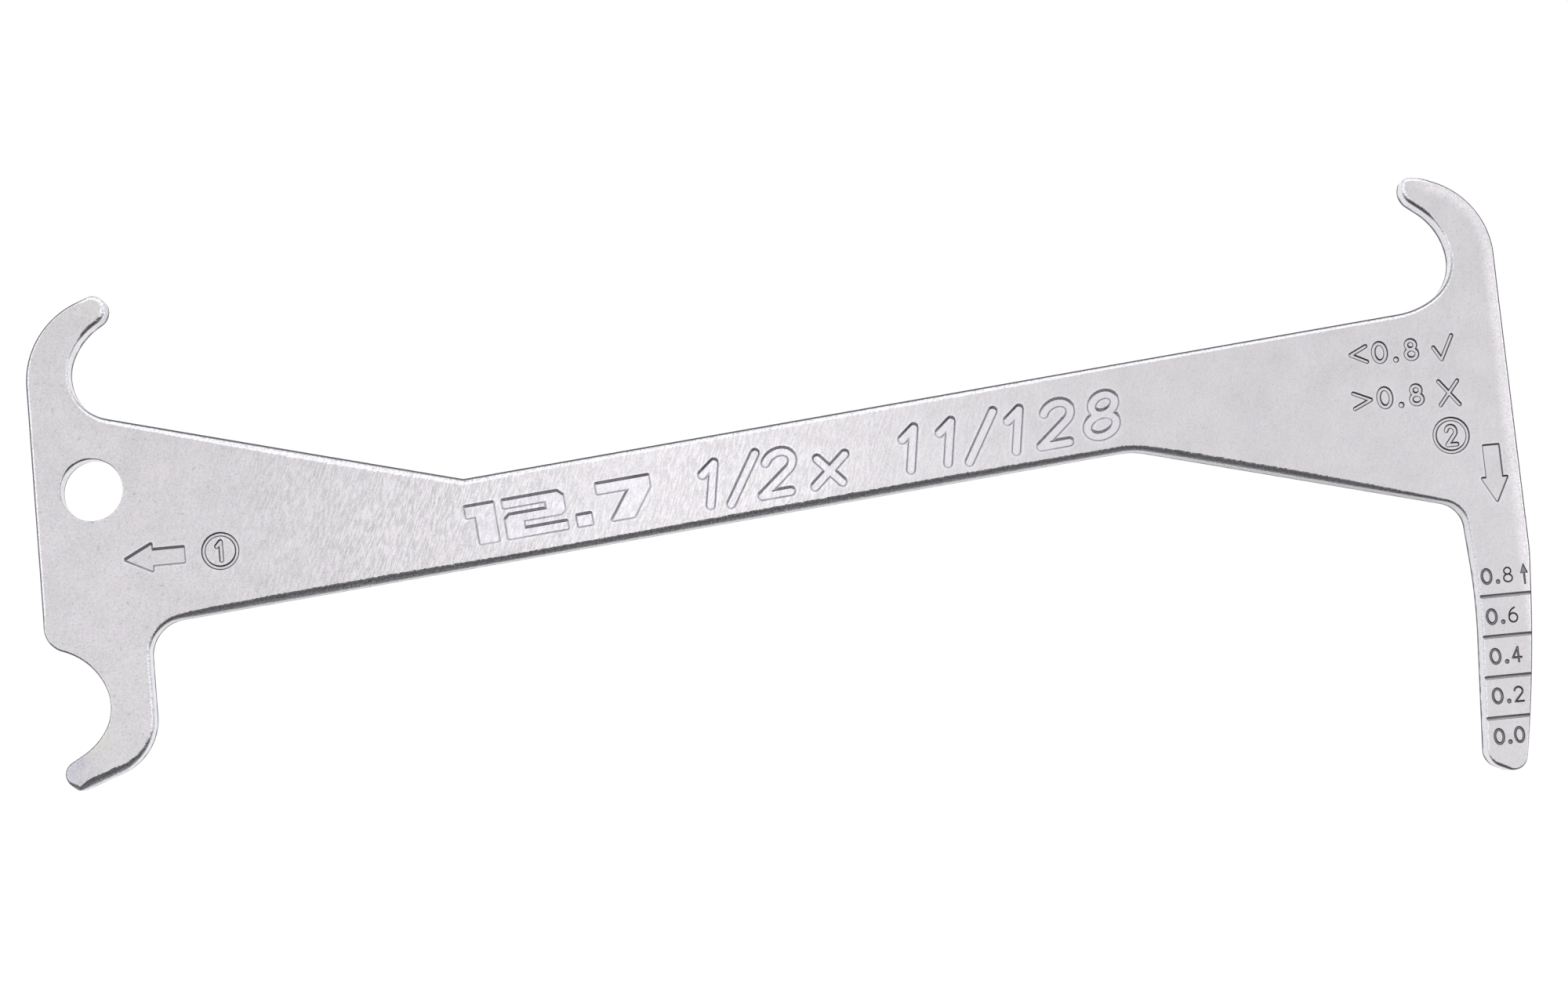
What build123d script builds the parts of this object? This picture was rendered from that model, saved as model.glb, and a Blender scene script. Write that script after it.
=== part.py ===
from build123d import *
from math import cos, radians, sin, sqrt, tan
import os

# A chain wear gauge: one hardened steel stamping that lies flat, front face up. Millimetres.
# The origin is the axis of the hang hole at the back face, +X runs along the chain and +Y is
# the top of the tool. Every heading is a direction of travel along the outline, clockwise as
# seen from the front, in degrees from +X.

# The chain that is measured
pitch = 12.7
roller_diameter = 7.75
pitches_spanned = 10

# Sheet and its stamped edges
thickness = 2.0
die_roll = 0.4              # radius of the rolled front edge
edge_break = 0.08           # chamfer of the outline's back edge
point_margin = 0.1          # a sharp point in the outline is rounder than the die roll by this

# Hang hole and left edge
hang_hole_diameter = 5.25
hole_to_left_edge = 4.85

# Roller seats: a circle a little larger than the roller, with wider flanks on both sides
seat_clearance = 0.18
blend_flat = 0.05           # straight between two tangent arcs that nearly meet
left_neck = 3.55            # metal behind the two seats at the left end
right_neck = 3.72           # metal behind the seat at the right end

# Lower left hook, which pulls on the first roller
lower_seat_contact_x = 0.25
lower_seat_y = -18.16
lower_headings = (29.2, 52.6, 111.1, 159.7)
lower_flank_radius = 5.65
lower_lip_flat = 1.10
lower_nose_flat = 0.57
lower_nose_heading = 139.0
lower_nose_radius = 1.15
shank_heading = 199.7
shank_radius = 4.80
wall_root_radius = 2.95

# Upper left hook, which holds one end of an open chain
upper_left_seat_y = 9.88
upper_left_headings = (209.3, 243.9)
upper_left_flank_radius = 5.75
upper_left_nose_radii = (1.08, 1.42)
upper_left_back_heading = 23.1
upper_left_back_radius = 7.30

# Upper right hook, which holds the other end
upper_right_seat_y = 9.26
upper_right_headings = (34.0, 95.7, 141.8)
upper_right_flank_radii = (6.87, 5.65)
upper_right_lip_flat = 0.98
upper_right_nose_flat = 0.13
upper_right_nose_heading = 71.6
upper_right_nose_radius = 1.65
upper_right_crown_flat = 0.15
upper_right_crown_heading = 0.4
upper_right_crown_radius = 3.40
upper_right_back_heading = 335.9
upper_right_back_radius = 7.25

# Bar, with a taper into each end
bar_width = 7.54
bar_slope = 4.7
taper_slope = 15.0
upper_taper_radius = 0.5
lower_taper_radius = 7.0
probe_root_radius = 2.35

# Probe, with its readings in percent of wear and the lines that mark them
readings = (0.8, 0.6, 0.4, 0.2, 0.0)
first_mark_drop = 2.0       # first line, below the seated roller's centre
mark_spacing = 3.44
mark_width = 0.30
mark_depth = 0.10
shoulder = 0.32             # right edge, outside the first reading
shoulder_radius = 14.5
probe_width = 4.35          # at the first line
probe_tip_width = 3.40      # at the level of the last reading
probe_back_radius = 50.0
probe_back_heading = 92.9
probe_root_rise = 7.96      # lower taper's root, above the first line
tip_heading = 154.3
tip_radii = (1.25, 1.50)


def heading(degrees):
    """Unit vector of a direction of travel."""
    return Vector(cos(radians(degrees)), sin(radians(degrees)))


def meet(point, direction, other, other_direction):
    """Crossing of two lines, each given by a point and a direction."""
    return point + direction * ((other - point).cross(other_direction).Z
                                / direction.cross(other_direction).Z)


def touch(centre, radius, degrees):
    """Point where a line with this heading touches a circle that lies to its left."""
    return centre + Vector(sin(radians(degrees)), -cos(radians(degrees))) * radius


def seat_corner(centre, start, end):
    """Corner of the two lines that touch the seat circle with these headings."""
    return touch(centre, seat_radius / cos(radians((end - start) / 2)), (start + end) / 2)


def tangent(radius, turn):
    """Length from a corner to the ends of the arc that rounds it."""
    return radius * tan(radians(abs(turn) / 2))


def flank_corner(centre, seat_degrees, flank_degrees, radius):
    """Corner of a flank arc that runs tangentially into the seat circle, or out of it."""
    turn = flank_degrees - seat_degrees
    run = blend_flat + tangent(radius, turn)
    side = 1 if turn > 0 else -1
    return touch(centre, seat_radius, seat_degrees) + heading(seat_degrees) * run * side


def reading_point(wear, level):
    """Point of the measuring face that meets the last roller's flank at this wear.

    The gauge swings about the first roller, so the face lies at a constant distance from that
    roller's centre for each wear, however far the probe has dropped between the plates.
    """
    reach = pitches_spanned * pitch * (1 + wear / 100) - roller_diameter / 2
    return Vector(hooked_roller.X + sqrt(reach**2 - (level - hooked_roller.Y) ** 2), level)


seat_radius = roller_diameter / 2 + seat_clearance
point_radius = die_roll + point_margin
up = heading(90)
bar_heading = heading(bar_slope)
taper_heading = heading(-taper_slope)

# Measuring face
hooked_roller = Vector(lower_seat_contact_x - roller_diameter / 2, lower_seat_y)
mark_levels = [
    hooked_roller.Y - first_mark_drop - i * mark_spacing for i in range(len(readings))
]
face_points = [reading_point(wear, level) for wear, level in zip(readings, mark_levels)]
first_reading, last_reading = face_points[0], face_points[-1]
left_edge = Vector(-hole_to_left_edge, 0)
right_edge = Vector(first_reading.X + shoulder, 0)

# Lower left hook: back wall, shank, nose, seat and the chin above the seat
lower_seat = Vector(lower_seat_contact_x - seat_radius, lower_seat_y)
lower_wall = Vector(lower_seat_contact_x + left_neck, 0)
lip, seat_in, seat_out, chin_heading = lower_headings
lower_entry = flank_corner(lower_seat, seat_in, lip, lower_flank_radius)
lower_exit = flank_corner(lower_seat, seat_out, chin_heading, lower_flank_radius)
nose_run = tangent(lower_nose_radius, lower_nose_heading - lip)
lower_tip = lower_entry - heading(lip) * (
    tangent(lower_flank_radius, seat_in - lip) + lower_lip_flat + nose_run
)
lower_point = lower_tip - heading(lower_nose_heading) * (
    nose_run + lower_nose_flat + tangent(point_radius, shank_heading - lower_nose_heading)
)
chin = meet(lower_exit, heading(chin_heading), left_edge, up)
chin_run = (chin - lower_exit).length - tangent(lower_flank_radius, chin_heading - seat_out)
chin_radius = (chin_run - blend_flat) / tangent(1, chin_heading - 90)
lower_hook = [
    (meet(lower_point, heading(shank_heading), lower_wall, up), shank_radius),
    (lower_point, point_radius),
    (lower_tip, lower_nose_radius),
    (lower_entry, lower_flank_radius),
    (seat_corner(lower_seat, seat_in, seat_out), seat_radius),
    (lower_exit, lower_flank_radius),
    (chin, chin_radius),
]

# Upper left hook: back, nose and seat, which runs out into the upper taper
upper_left_seat = Vector(-hole_to_left_edge + left_neck + seat_radius, upper_left_seat_y)
lip, seat_in = upper_left_headings
upper_left_entry = flank_corner(upper_left_seat, seat_in, lip, upper_left_flank_radius)
crown_radius, nose_radius = upper_left_nose_radii
nose_run = tangent(nose_radius, 270 - lip)
upper_left_tip = upper_left_entry - heading(lip) * (
    tangent(upper_left_flank_radius, seat_in - lip) + blend_flat + nose_run
)
upper_left_top = upper_left_tip + up * (
    nose_run + blend_flat + tangent(crown_radius, upper_left_back_heading + 90)
)
upper_left_foot = seat_corner(upper_left_seat, seat_in, 360 - taper_slope)
upper_left_hook = [
    (
        meet(upper_left_top, heading(upper_left_back_heading), left_edge, up),
        upper_left_back_radius,
    ),
    (upper_left_top, crown_radius),
    (upper_left_tip, nose_radius),
    (upper_left_entry, upper_left_flank_radius),
    (upper_left_foot, seat_radius),
]

# Upper right hook: seat, nose, crown and back
upper_right_seat = Vector(right_edge.X - right_neck - seat_radius, upper_right_seat_y)
seat_in, seat_out, lip = upper_right_headings
bar_end = flank_corner(upper_right_seat, seat_in, bar_slope, upper_right_flank_radii[0])
upper_right_exit = flank_corner(upper_right_seat, seat_out, lip, upper_right_flank_radii[1])
nose_run = tangent(upper_right_nose_radius, lip - upper_right_nose_heading)
point_run = tangent(point_radius, upper_right_nose_heading - upper_right_crown_heading)
crown_turn = upper_right_crown_heading + 360 - upper_right_back_heading
upper_right_tip = upper_right_exit + heading(lip) * (
    tangent(upper_right_flank_radii[1], lip - seat_out) + upper_right_lip_flat + nose_run
)
upper_right_point = upper_right_tip + heading(upper_right_nose_heading) * (
    nose_run + upper_right_nose_flat + point_run
)
upper_right_top = upper_right_point + heading(upper_right_crown_heading) * (
    point_run + upper_right_crown_flat + tangent(upper_right_crown_radius, crown_turn)
)
upper_right_hook = [
    (bar_end, upper_right_flank_radii[0]),
    (seat_corner(upper_right_seat, seat_in, seat_out), seat_radius),
    (upper_right_exit, upper_right_flank_radii[1]),
    (upper_right_tip, upper_right_nose_radius),
    (upper_right_point, point_radius),
    (upper_right_top, upper_right_crown_radius),
    (
        meet(upper_right_top, heading(upper_right_back_heading), right_edge, up),
        upper_right_back_radius,
    ),
]

# Bar: its top edge runs into the right seat, and its bottom edge is parallel
bar_bottom = bar_end - bar_heading.rotate(Axis.Z, 90) * bar_width
upper_taper_corner = (meet(upper_left_foot, taper_heading, bar_end, bar_heading), upper_taper_radius)
wall_root = (meet(bar_bottom, bar_heading, lower_wall, up), wall_root_radius)

# Back of the probe
probe_back = first_reading - Vector(probe_width, 0)
probe_back_foot = last_reading - Vector(probe_tip_width, 0)
probe_root_level = first_reading + Vector(0, probe_root_rise)
probe_root = meet(probe_back, heading(probe_back_heading), probe_root_level, Vector(1, 0))
lower_taper_corner = (meet(probe_root, taper_heading, bar_bottom, bar_heading), lower_taper_radius)

# The whole gauge is one stamping
with BuildPart() as gauge_plate:
    with BuildSketch() as blank:
        with BuildLine() as outline:
            measuring_face = Spline(*face_points)
            tip_turn = (measuring_face % 1).get_angle(heading(tip_heading))
            tip_run = blend_flat + tangent(tip_radii[0], tip_turn)
            tip_right = measuring_face @ 1 + (measuring_face % 1) * tip_run
            tip_left = meet(
                tip_right, heading(tip_heading), probe_back_foot, probe_back - probe_back_foot
            )
            shoulder_corner = meet(measuring_face @ 0, measuring_face % 0, right_edge, up)
            corners = [
                (tip_right, tip_radii[0]),
                (tip_left, tip_radii[1]),
                (probe_back, probe_back_radius),
                (probe_root, probe_root_radius),
                lower_taper_corner,
                wall_root,
                *lower_hook,
                *upper_left_hook,
                upper_taper_corner,
                *upper_right_hook,
                (shoulder_corner, shoulder_radius),
            ]
            FilletPolyline(
                measuring_face @ 1,
                *[point for point, radius in corners],
                measuring_face @ 0,
                radius=[radius for point, radius in corners],
            )
        make_face()
        Circle(hang_hole_diameter / 2, mode=Mode.SUBTRACT)
    extrude(amount=thickness)

    # The punch enters from the front: it rolls the front edges and leaves the back ones square,
    # so the outline is lightly broken there and the hole is left as it was punched
    fillet(gauge_plate.faces().sort_by(Axis.Z)[-1].edges(), die_roll)
    chamfer(gauge_plate.faces().sort_by(Axis.Z)[0].outer_wire().edges(), edge_break)

    # Lines across the probe, one above each reading zone
    with BuildSketch(Plane.XY.offset(thickness)) as marks:
        for point, level in zip(face_points[:-1], mark_levels[:-1]):
            with Locations((point.X - probe_width / 2, level)):
                Rectangle(probe_width * 1.5, mark_width)
    extrude(amount=-mark_depth, mode=Mode.SUBTRACT)

gauge_plate.part.label = "gauge_plate"
os.makedirs("parts", exist_ok=True)
export_step(gauge_plate.part, "parts/gauge_plate.step")
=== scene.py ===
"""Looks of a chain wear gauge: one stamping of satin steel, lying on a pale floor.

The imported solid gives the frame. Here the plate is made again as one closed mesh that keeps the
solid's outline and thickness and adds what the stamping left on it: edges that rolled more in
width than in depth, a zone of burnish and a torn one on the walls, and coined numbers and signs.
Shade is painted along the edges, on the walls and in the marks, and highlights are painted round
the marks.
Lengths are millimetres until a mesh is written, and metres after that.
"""

import logging
from dataclasses import dataclass, field
from enum import Enum

import bpy
import numpy as np
from mathutils import Matrix
from mathutils.geometry import delaunay_2d_cdt

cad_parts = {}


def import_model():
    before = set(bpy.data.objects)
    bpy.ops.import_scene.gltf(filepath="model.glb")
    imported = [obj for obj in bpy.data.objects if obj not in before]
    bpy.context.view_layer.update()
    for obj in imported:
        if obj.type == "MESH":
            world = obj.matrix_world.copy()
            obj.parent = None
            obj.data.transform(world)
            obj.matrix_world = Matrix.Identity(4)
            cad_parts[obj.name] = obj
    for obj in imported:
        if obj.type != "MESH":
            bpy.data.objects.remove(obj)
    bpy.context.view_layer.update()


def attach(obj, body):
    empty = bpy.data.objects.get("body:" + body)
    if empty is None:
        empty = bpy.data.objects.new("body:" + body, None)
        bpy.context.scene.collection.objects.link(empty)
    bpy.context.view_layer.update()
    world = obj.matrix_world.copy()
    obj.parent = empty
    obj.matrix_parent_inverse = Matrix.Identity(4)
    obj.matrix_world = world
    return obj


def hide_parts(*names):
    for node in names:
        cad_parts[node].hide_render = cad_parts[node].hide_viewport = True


MM = 0.001
TINY = 1e-9
Array = np.ndarray
Socket = bpy.types.NodeSocket
Color = tuple[float, float, float]
Span = tuple[float, float]
Corner = tuple[Array, float]
log = logging.getLogger("chain_wear_gauge")


class Zone(Enum):
    """Kinds of surface that the steel's finish tells apart, each a mesh attribute from 0 to 1."""

    ROLLED = "rolled"
    TORN = "torn"
    # Stains and fills, together with painted shade
    STAINED = "stained"
    # Burnish on the edges' walls, shared with the marks' painted highlights
    BURNISHED = "burnished"


Sockets = dict[str, Socket]
Zones = dict[Zone, Socket]


# Plane curves


def headings(points: Array) -> Array:
    """Unit tangents of an open polyline, by central differences.

    Args:
        points: the polyline's points, one row each.

    Returns:
        One unit vector a point.
    """
    step = np.gradient(points, axis=0)
    return step / np.linalg.norm(step, axis=1)[:, None]


def left_of(vectors: Array) -> Array:
    """Vectors turned a quarter turn counter-clockwise."""
    return np.stack([-vectors[..., 1], vectors[..., 0]], axis=-1)


def smooth(value: Array) -> Array:
    """Smooth step: 0 below 0, 1 above 1, and 3t^2 - 2t^3 between."""
    t = np.clip(value, 0.0, 1.0)
    return t * t * (3.0 - 2.0 * t)


def run_along(points: Array) -> Array:
    """Distance from the first point along a polyline, one value a point."""
    return np.concatenate([[0], np.cumsum(np.linalg.norm(np.diff(points, axis=0), axis=1))])


@dataclass(frozen=True)
class Wander:
    """Irregular wave along a line: a sum of sines with seeded phases and close wavelengths.

    The wavelengths lie within a factor e^spread of the middle one. Dividing the sum by the root
    of the waves' number times evenness brings it to about -1 to 1, before the amplitude.
    """

    wavelength: float
    seed: int
    amplitude: float = 1.0
    waves: int = 9
    spread: float = 0.7
    evenness: float = 1.6

    def at(self, s: Array) -> Array:
        """The wave along the line.

        Args:
            s: positions along the line.

        Returns:
            One value a position.
        """
        rng = np.random.default_rng(self.seed)
        lengths = self.wavelength * np.exp(rng.uniform(-self.spread, self.spread, self.waves))
        phases = rng.uniform(0, 2 * np.pi, self.waves)
        total = np.sin(2 * np.pi * s[..., None] / lengths + phases).sum(-1)
        return self.amplitude * (total / np.sqrt(self.waves * self.evenness))


def heading(degrees: float) -> Array:
    """Unit vector of a direction of travel, in degrees from +X."""
    return np.array([np.cos(np.radians(degrees)), np.sin(np.radians(degrees))])


def tangent(radius: float, turn: float) -> float:
    """Length from a corner with this turn in degrees to the ends of the arc that rounds it."""
    return radius * np.tan(np.radians(abs(turn)) / 2)


def meet(point: Array, way: Array, other: Array, other_way: Array) -> Array:
    """Crossing of two lines.

    Args:
        point: a point of the first line.
        way: its direction.
        other: a point of the second line.
        other_way: its direction.

    Returns:
        The crossing, found from the cross products of the directions.
    """
    gap = other - point
    share = gap[0] * other_way[1] - gap[1] * other_way[0]
    return point + way * share / (way[0] * other_way[1] - way[1] * other_way[0])


@dataclass(frozen=True)
class Seat:
    """A circle that holds one of the chain's rollers, and lies to the left of the outline.

    Flat is the straight between two arcs that touch it and nearly meet.
    """

    x: float
    y: float
    radius: float
    flat: float

    def touch(self, degrees: float, radius: float) -> Array:
        """Where a line with this heading touches a circle of this radius round the centre."""
        return np.array([self.x, self.y]) - left_of(heading(degrees)) * radius

    def corner(self, start: float, end: float) -> Array:
        """Corner of the two lines that touch the seat with these headings."""
        return self.touch((start + end) / 2, self.radius / np.cos(np.radians((end - start) / 2)))

    def flank(self, seat_heading: float, flank_heading: float, radius: float) -> Array:
        """Corner of a flank arc that runs tangentially into the seat, or out of it.

        Args:
            seat_heading: the heading where the seat's circle ends.
            flank_heading: the heading at the flank's other end.
            radius: the flank's radius.

        Returns:
            The corner.
        """
        turn = flank_heading - seat_heading
        run = (self.flat + tangent(radius, turn)) * np.sign(turn)
        return self.touch(seat_heading, self.radius) + heading(seat_heading) * run


@dataclass(frozen=True)
class Outline:
    """The gauge's outline, clockwise from the foot of the measuring face.

    Every heading is a direction of travel along it, in degrees from +X. A seat is a circle a
    little larger than the chain's roller, with wider flanks on both sides. A neck is the metal
    behind a seat, a flat is the straight before or after a nose's arc, and a sharp point in
    the outline has the point's radius. The measuring face closes the loop: at each level it
    lies at ten worn pitches less half a roller from the hooked roller's centre, with no wear
    at its foot and the worn percentage at its top. Points stand at most a step apart, and on
    an arc at most a turn in degrees.
    """

    pitch: float = 12.7
    pitches: int = 10
    roller: float = 7.75
    worn: float = 0.8
    face_top: float = -20.16
    face_foot: float = -33.92
    face_points: int = 57
    left_edge: float = -4.85
    seat_clearance: float = 0.18
    blend_flat: float = 0.05
    left_neck: float = 3.55
    right_neck: float = 3.72
    point_radius: float = 0.5

    lower_contact: float = 0.25
    lower_level: float = -18.16
    lower_headings: tuple[float, float, float, float] = (29.2, 52.6, 111.1, 159.7)
    lower_flank: float = 5.65
    lower_lip_flat: float = 1.10
    lower_nose_flat: float = 0.57
    lower_nose_heading: float = 139.0
    lower_nose: float = 1.15
    shank_heading: float = 199.7
    shank: float = 4.80
    wall_root: float = 2.95

    left_level: float = 9.88
    left_headings: tuple[float, float] = (209.3, 243.9)
    left_flank: float = 5.75
    left_nose: tuple[float, float] = (1.08, 1.42)
    left_back_heading: float = 23.1
    left_back: float = 7.30

    right_level: float = 9.26
    right_headings: tuple[float, float, float] = (34.0, 95.7, 141.8)
    right_flanks: tuple[float, float] = (6.87, 5.65)
    right_lip_flat: float = 0.98
    right_nose_flat: float = 0.13
    right_nose_heading: float = 71.6
    right_nose: float = 1.65
    right_crown_flat: float = 0.15
    right_crown_heading: float = 0.4
    right_crown: float = 3.40
    right_back_heading: float = 335.9
    right_back: float = 7.25

    bar_width: float = 7.54
    bar_slope: float = 4.7
    taper_slope: float = 15.0
    upper_taper: float = 0.5
    lower_taper: float = 7.0

    shoulder_width: float = 0.32
    shoulder: float = 14.5
    probe_width: float = 4.35
    tip_width: float = 3.40
    probe_back: float = 50.0
    probe_back_heading: float = 92.9
    probe_root: float = 2.35
    probe_root_rise: float = 7.96
    tip_heading: float = 154.3
    tip: tuple[float, float] = (1.25, 1.50)

    step: float = 0.17
    turn: float = 7.0
    decimals: int = 3

    @property
    def seat_radius(self) -> float:
        """Radius of the three roller seats."""
        return self.roller / 2 + self.seat_clearance

    @property
    def right_edge(self) -> float:
        """Where the right edge lies, outside the face's first reading."""
        return self.face()[-1, 0] + self.shoulder_width

    def seat(self, x: float, level: float) -> Seat:
        """A roller seat with its centre here."""
        return Seat(x, level, self.seat_radius, self.blend_flat)

    def face_curve(self, y: Array) -> tuple[Array, Array]:
        """The measuring face at some levels.

        With the reach r at a level and its depth d below the hooked roller, x is that
        roller's centre plus the root of r^2 - d^2.

        Args:
            y: the levels.

        Returns:
            x there, and how much x grows with y.
        """
        growth = self.worn / (self.face_top - self.face_foot)
        span = self.pitch * self.pitches
        wear = self.worn * (y - self.face_foot) / (self.face_top - self.face_foot)
        reach = span * (1 + wear / 100) - self.roller / 2
        depth = y - self.lower_level
        along = np.sqrt(reach**2 - depth**2)
        slope = (reach * span * growth / 100 - depth) / along
        return self.lower_contact - self.roller / 2 + along, slope

    def face(self) -> Array:
        """Points up the measuring face, from its foot to its top."""
        y = np.linspace(self.face_foot, self.face_top, self.face_points)
        return np.c_[self.face_curve(y)[0], y]

    def lower_hook(self) -> list[Corner]:
        """The hook that pulls on the first roller: shank, nose, seat and chin.

        Returns:
            Its corners, of which the last lies on the left edge.
        """
        seat = self.seat(self.lower_contact - self.seat_radius, self.lower_level)
        lip, seat_in, seat_out, chin_heading = self.lower_headings
        entry = seat.flank(seat_in, lip, self.lower_flank)
        leave = seat.flank(seat_out, chin_heading, self.lower_flank)
        nose_run = tangent(self.lower_nose, self.lower_nose_heading - lip)
        lip_run = tangent(self.lower_flank, seat_in - lip) + self.lower_lip_flat + nose_run
        tip = entry - heading(lip) * lip_run
        point_run = tangent(self.point_radius, self.shank_heading - self.lower_nose_heading)
        nose = nose_run + self.lower_nose_flat + point_run
        point = tip - heading(self.lower_nose_heading) * nose
        chin = meet(leave, heading(chin_heading), np.array([self.left_edge, 0.0]), heading(90))
        chin_run = np.linalg.norm(chin - leave) - tangent(self.lower_flank, chin_heading - seat_out)
        return [
            (meet(point, heading(self.shank_heading), self.wall(), heading(90)), self.shank),
            (point, self.point_radius),
            (tip, self.lower_nose),
            (entry, self.lower_flank),
            (seat.corner(seat_in, seat_out), self.seat_radius),
            (leave, self.lower_flank),
            (chin, (chin_run - self.blend_flat) / tangent(1, chin_heading - 90)),
        ]

    def wall(self) -> Array:
        """A point of the wall behind the lower hook's seat."""
        return np.array([self.lower_contact + self.left_neck, 0.0])

    def left_hook(self) -> list[Corner]:
        """The upper left hook: back, nose and seat.

        Returns:
            Its corners, of which the last lies on the taper.
        """
        seat = self.seat(self.left_edge + self.left_neck + self.seat_radius, self.left_level)
        lip, seat_in = self.left_headings
        crown, nose = self.left_nose
        entry = seat.flank(seat_in, lip, self.left_flank)
        nose_run = tangent(nose, 270 - lip)
        lip_run = tangent(self.left_flank, seat_in - lip) + self.blend_flat + nose_run
        tip = entry - heading(lip) * lip_run
        rise = nose_run + self.blend_flat + tangent(crown, self.left_back_heading + 90)
        top = tip + np.array([0.0, rise])
        edge = np.array([self.left_edge, 0.0])
        return [
            (meet(top, heading(self.left_back_heading), edge, heading(90)), self.left_back),
            (top, crown),
            (tip, nose),
            (entry, self.left_flank),
            (seat.corner(seat_in, 360 - self.taper_slope), self.seat_radius),
        ]

    def right_hook(self) -> list[Corner]:
        """The upper right hook: the bar's end, seat, nose, crown and back.

        Returns:
            Its corners, of which the last lies on the right edge.
        """
        edge = np.array([self.right_edge, 0.0])
        seat = self.seat(edge[0] - self.right_neck - self.seat_radius, self.right_level)
        seat_in, seat_out, lip = self.right_headings
        entry_flank, exit_flank = self.right_flanks
        leave = seat.flank(seat_out, lip, exit_flank)
        nose_run = tangent(self.right_nose, lip - self.right_nose_heading)
        point_turn = self.right_nose_heading - self.right_crown_heading
        point_run = tangent(self.point_radius, point_turn)
        crown_turn = self.right_crown_heading + 360 - self.right_back_heading
        lip_run = tangent(exit_flank, lip - seat_out) + self.right_lip_flat + nose_run
        tip = leave + heading(lip) * lip_run
        nose = nose_run + self.right_nose_flat + point_run
        point = tip + heading(self.right_nose_heading) * nose
        crown = point_run + self.right_crown_flat + tangent(self.right_crown, crown_turn)
        top = point + heading(self.right_crown_heading) * crown
        return [
            (seat.flank(seat_in, self.bar_slope, entry_flank), entry_flank),
            (seat.corner(seat_in, seat_out), self.seat_radius),
            (leave, exit_flank),
            (tip, self.right_nose),
            (point, self.point_radius),
            (top, self.right_crown),
            (meet(top, heading(self.right_back_heading), edge, heading(90)), self.right_back),
        ]

    def probe(self) -> list[Corner]:
        """The probe below its face, and its back up to the bar.

        Returns:
            Its corners, of which the last is the probe's root.
        """
        foot, first = (np.array([self.face_curve(y)[0], y]) for y in (self.face_foot, self.face_top))
        down = -np.array([self.face_curve(self.face_foot)[1], 1.0])
        down /= np.linalg.norm(down)
        tip_way = heading(self.tip_heading)
        tip_turn = np.degrees(np.arccos(down @ tip_way))
        tip_right = foot + down * (self.blend_flat + tangent(self.tip[0], tip_turn))
        back, back_foot = first - (self.probe_width, 0.0), foot - (self.tip_width, 0.0)
        root_level = first + (0.0, self.probe_root_rise)
        root = meet(back, heading(self.probe_back_heading), root_level, heading(0))
        return [
            (tip_right, self.tip[0]),
            (meet(tip_right, tip_way, back_foot, back - back_foot), self.tip[1]),
            (back, self.probe_back),
            (root, self.probe_root),
        ]

    def corners(self) -> tuple[Array, Array]:
        """All corners, clockwise from the probe's tip to the shoulder above the face.

        They are rounded to a thousandth of a millimetre, so that the mesh doesn't hang on the
        last digits of the sines.

        Returns:
            The corners, one row each, and the radius that rounds each.
        """
        probe, lower, left, right = self.probe(), self.lower_hook(), self.left_hook(), self.right_hook()
        bar, taper = heading(self.bar_slope), heading(-self.taper_slope)
        bar_end = right[0][0]
        bottom = bar_end - left_of(bar) * self.bar_width
        lower_taper = (meet(probe[-1][0], taper, bottom, bar), self.lower_taper)
        wall_root = (meet(bottom, bar, self.wall(), heading(90)), self.wall_root)
        upper_taper = (meet(left[-1][0], taper, bar_end, bar), self.upper_taper)
        top, slope = self.face_curve(self.face_top)
        up_face = np.array([slope, 1.0])
        edge = np.array([self.right_edge, 0.0])
        shoulder = (meet(np.array([top, self.face_top]), up_face, edge, heading(90)), self.shoulder)
        found = [*probe, lower_taper, wall_root, *lower, *left, upper_taper, *right, shoulder]
        points = np.array([point for point, _ in found])
        radii = np.array([radius for _, radius in found])
        return points.round(self.decimals), radii.round(self.decimals)

    def straight(self, start: Array, end: Array) -> Array:
        """Points from a start up to, but without, an end, divided evenly."""
        n = max(2, int(np.ceil(np.linalg.norm(end - start) / self.step)) + 1)
        return start + (end - start) * np.linspace(0, 1, n)[:-1, None]

    def loop(self) -> tuple[Array, Array]:
        """The whole outline as one closed loop of points.

        A rounded corner is an arc between its two tangent points, which lie r tan(turn / 2)
        from the corner. Straights are divided evenly.

        Returns:
            The points, clockwise and without a repeated one, and at each the radius of a
            convex arc, or infinity on straights and hollows.
        """
        face = self.face()
        start, end = face[0], face[-1]
        corners, radii = self.corners()
        xy = np.vstack([start, corners, end])
        way = np.diff(xy, axis=0)
        way /= np.linalg.norm(way, axis=1)[:, None]
        before, after = way[:-1], way[1:]
        angle = np.arctan2(
            before[:, 0] * after[:, 1] - before[:, 1] * after[:, 0], (before * after).sum(1)
        )
        run = radii * np.tan(np.abs(angle) / 2)
        enter, leave = xy[1:-1] - before * run[:, None], xy[1:-1] + after * run[:, None]
        centre = enter + left_of(before) * (radii * np.sign(angle))[:, None]
        pieces, bends = [], []
        last = start
        for a, b, c, r, t in zip(enter, leave, centre, radii, angle):
            n = 2 + int(np.ceil(max(np.degrees(abs(t)) / self.turn, abs(t) * r / self.step)))
            w = np.linspace(0, t, n)[:-1, None]
            out = a - c
            pieces += [self.straight(last, a), c + out * np.cos(w) + left_of(out) * np.sin(w)]
            bends += [np.full(len(pieces[-2]), np.inf), np.full(n - 1, r if t < 0 else np.inf)]
            last = b
        pieces += [self.straight(last, end), face[:0:-1]]
        bends += [np.full(len(piece), np.inf) for piece in pieces[-2:]]
        return np.vstack(pieces), np.concatenate(bends)


# Marks


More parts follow.
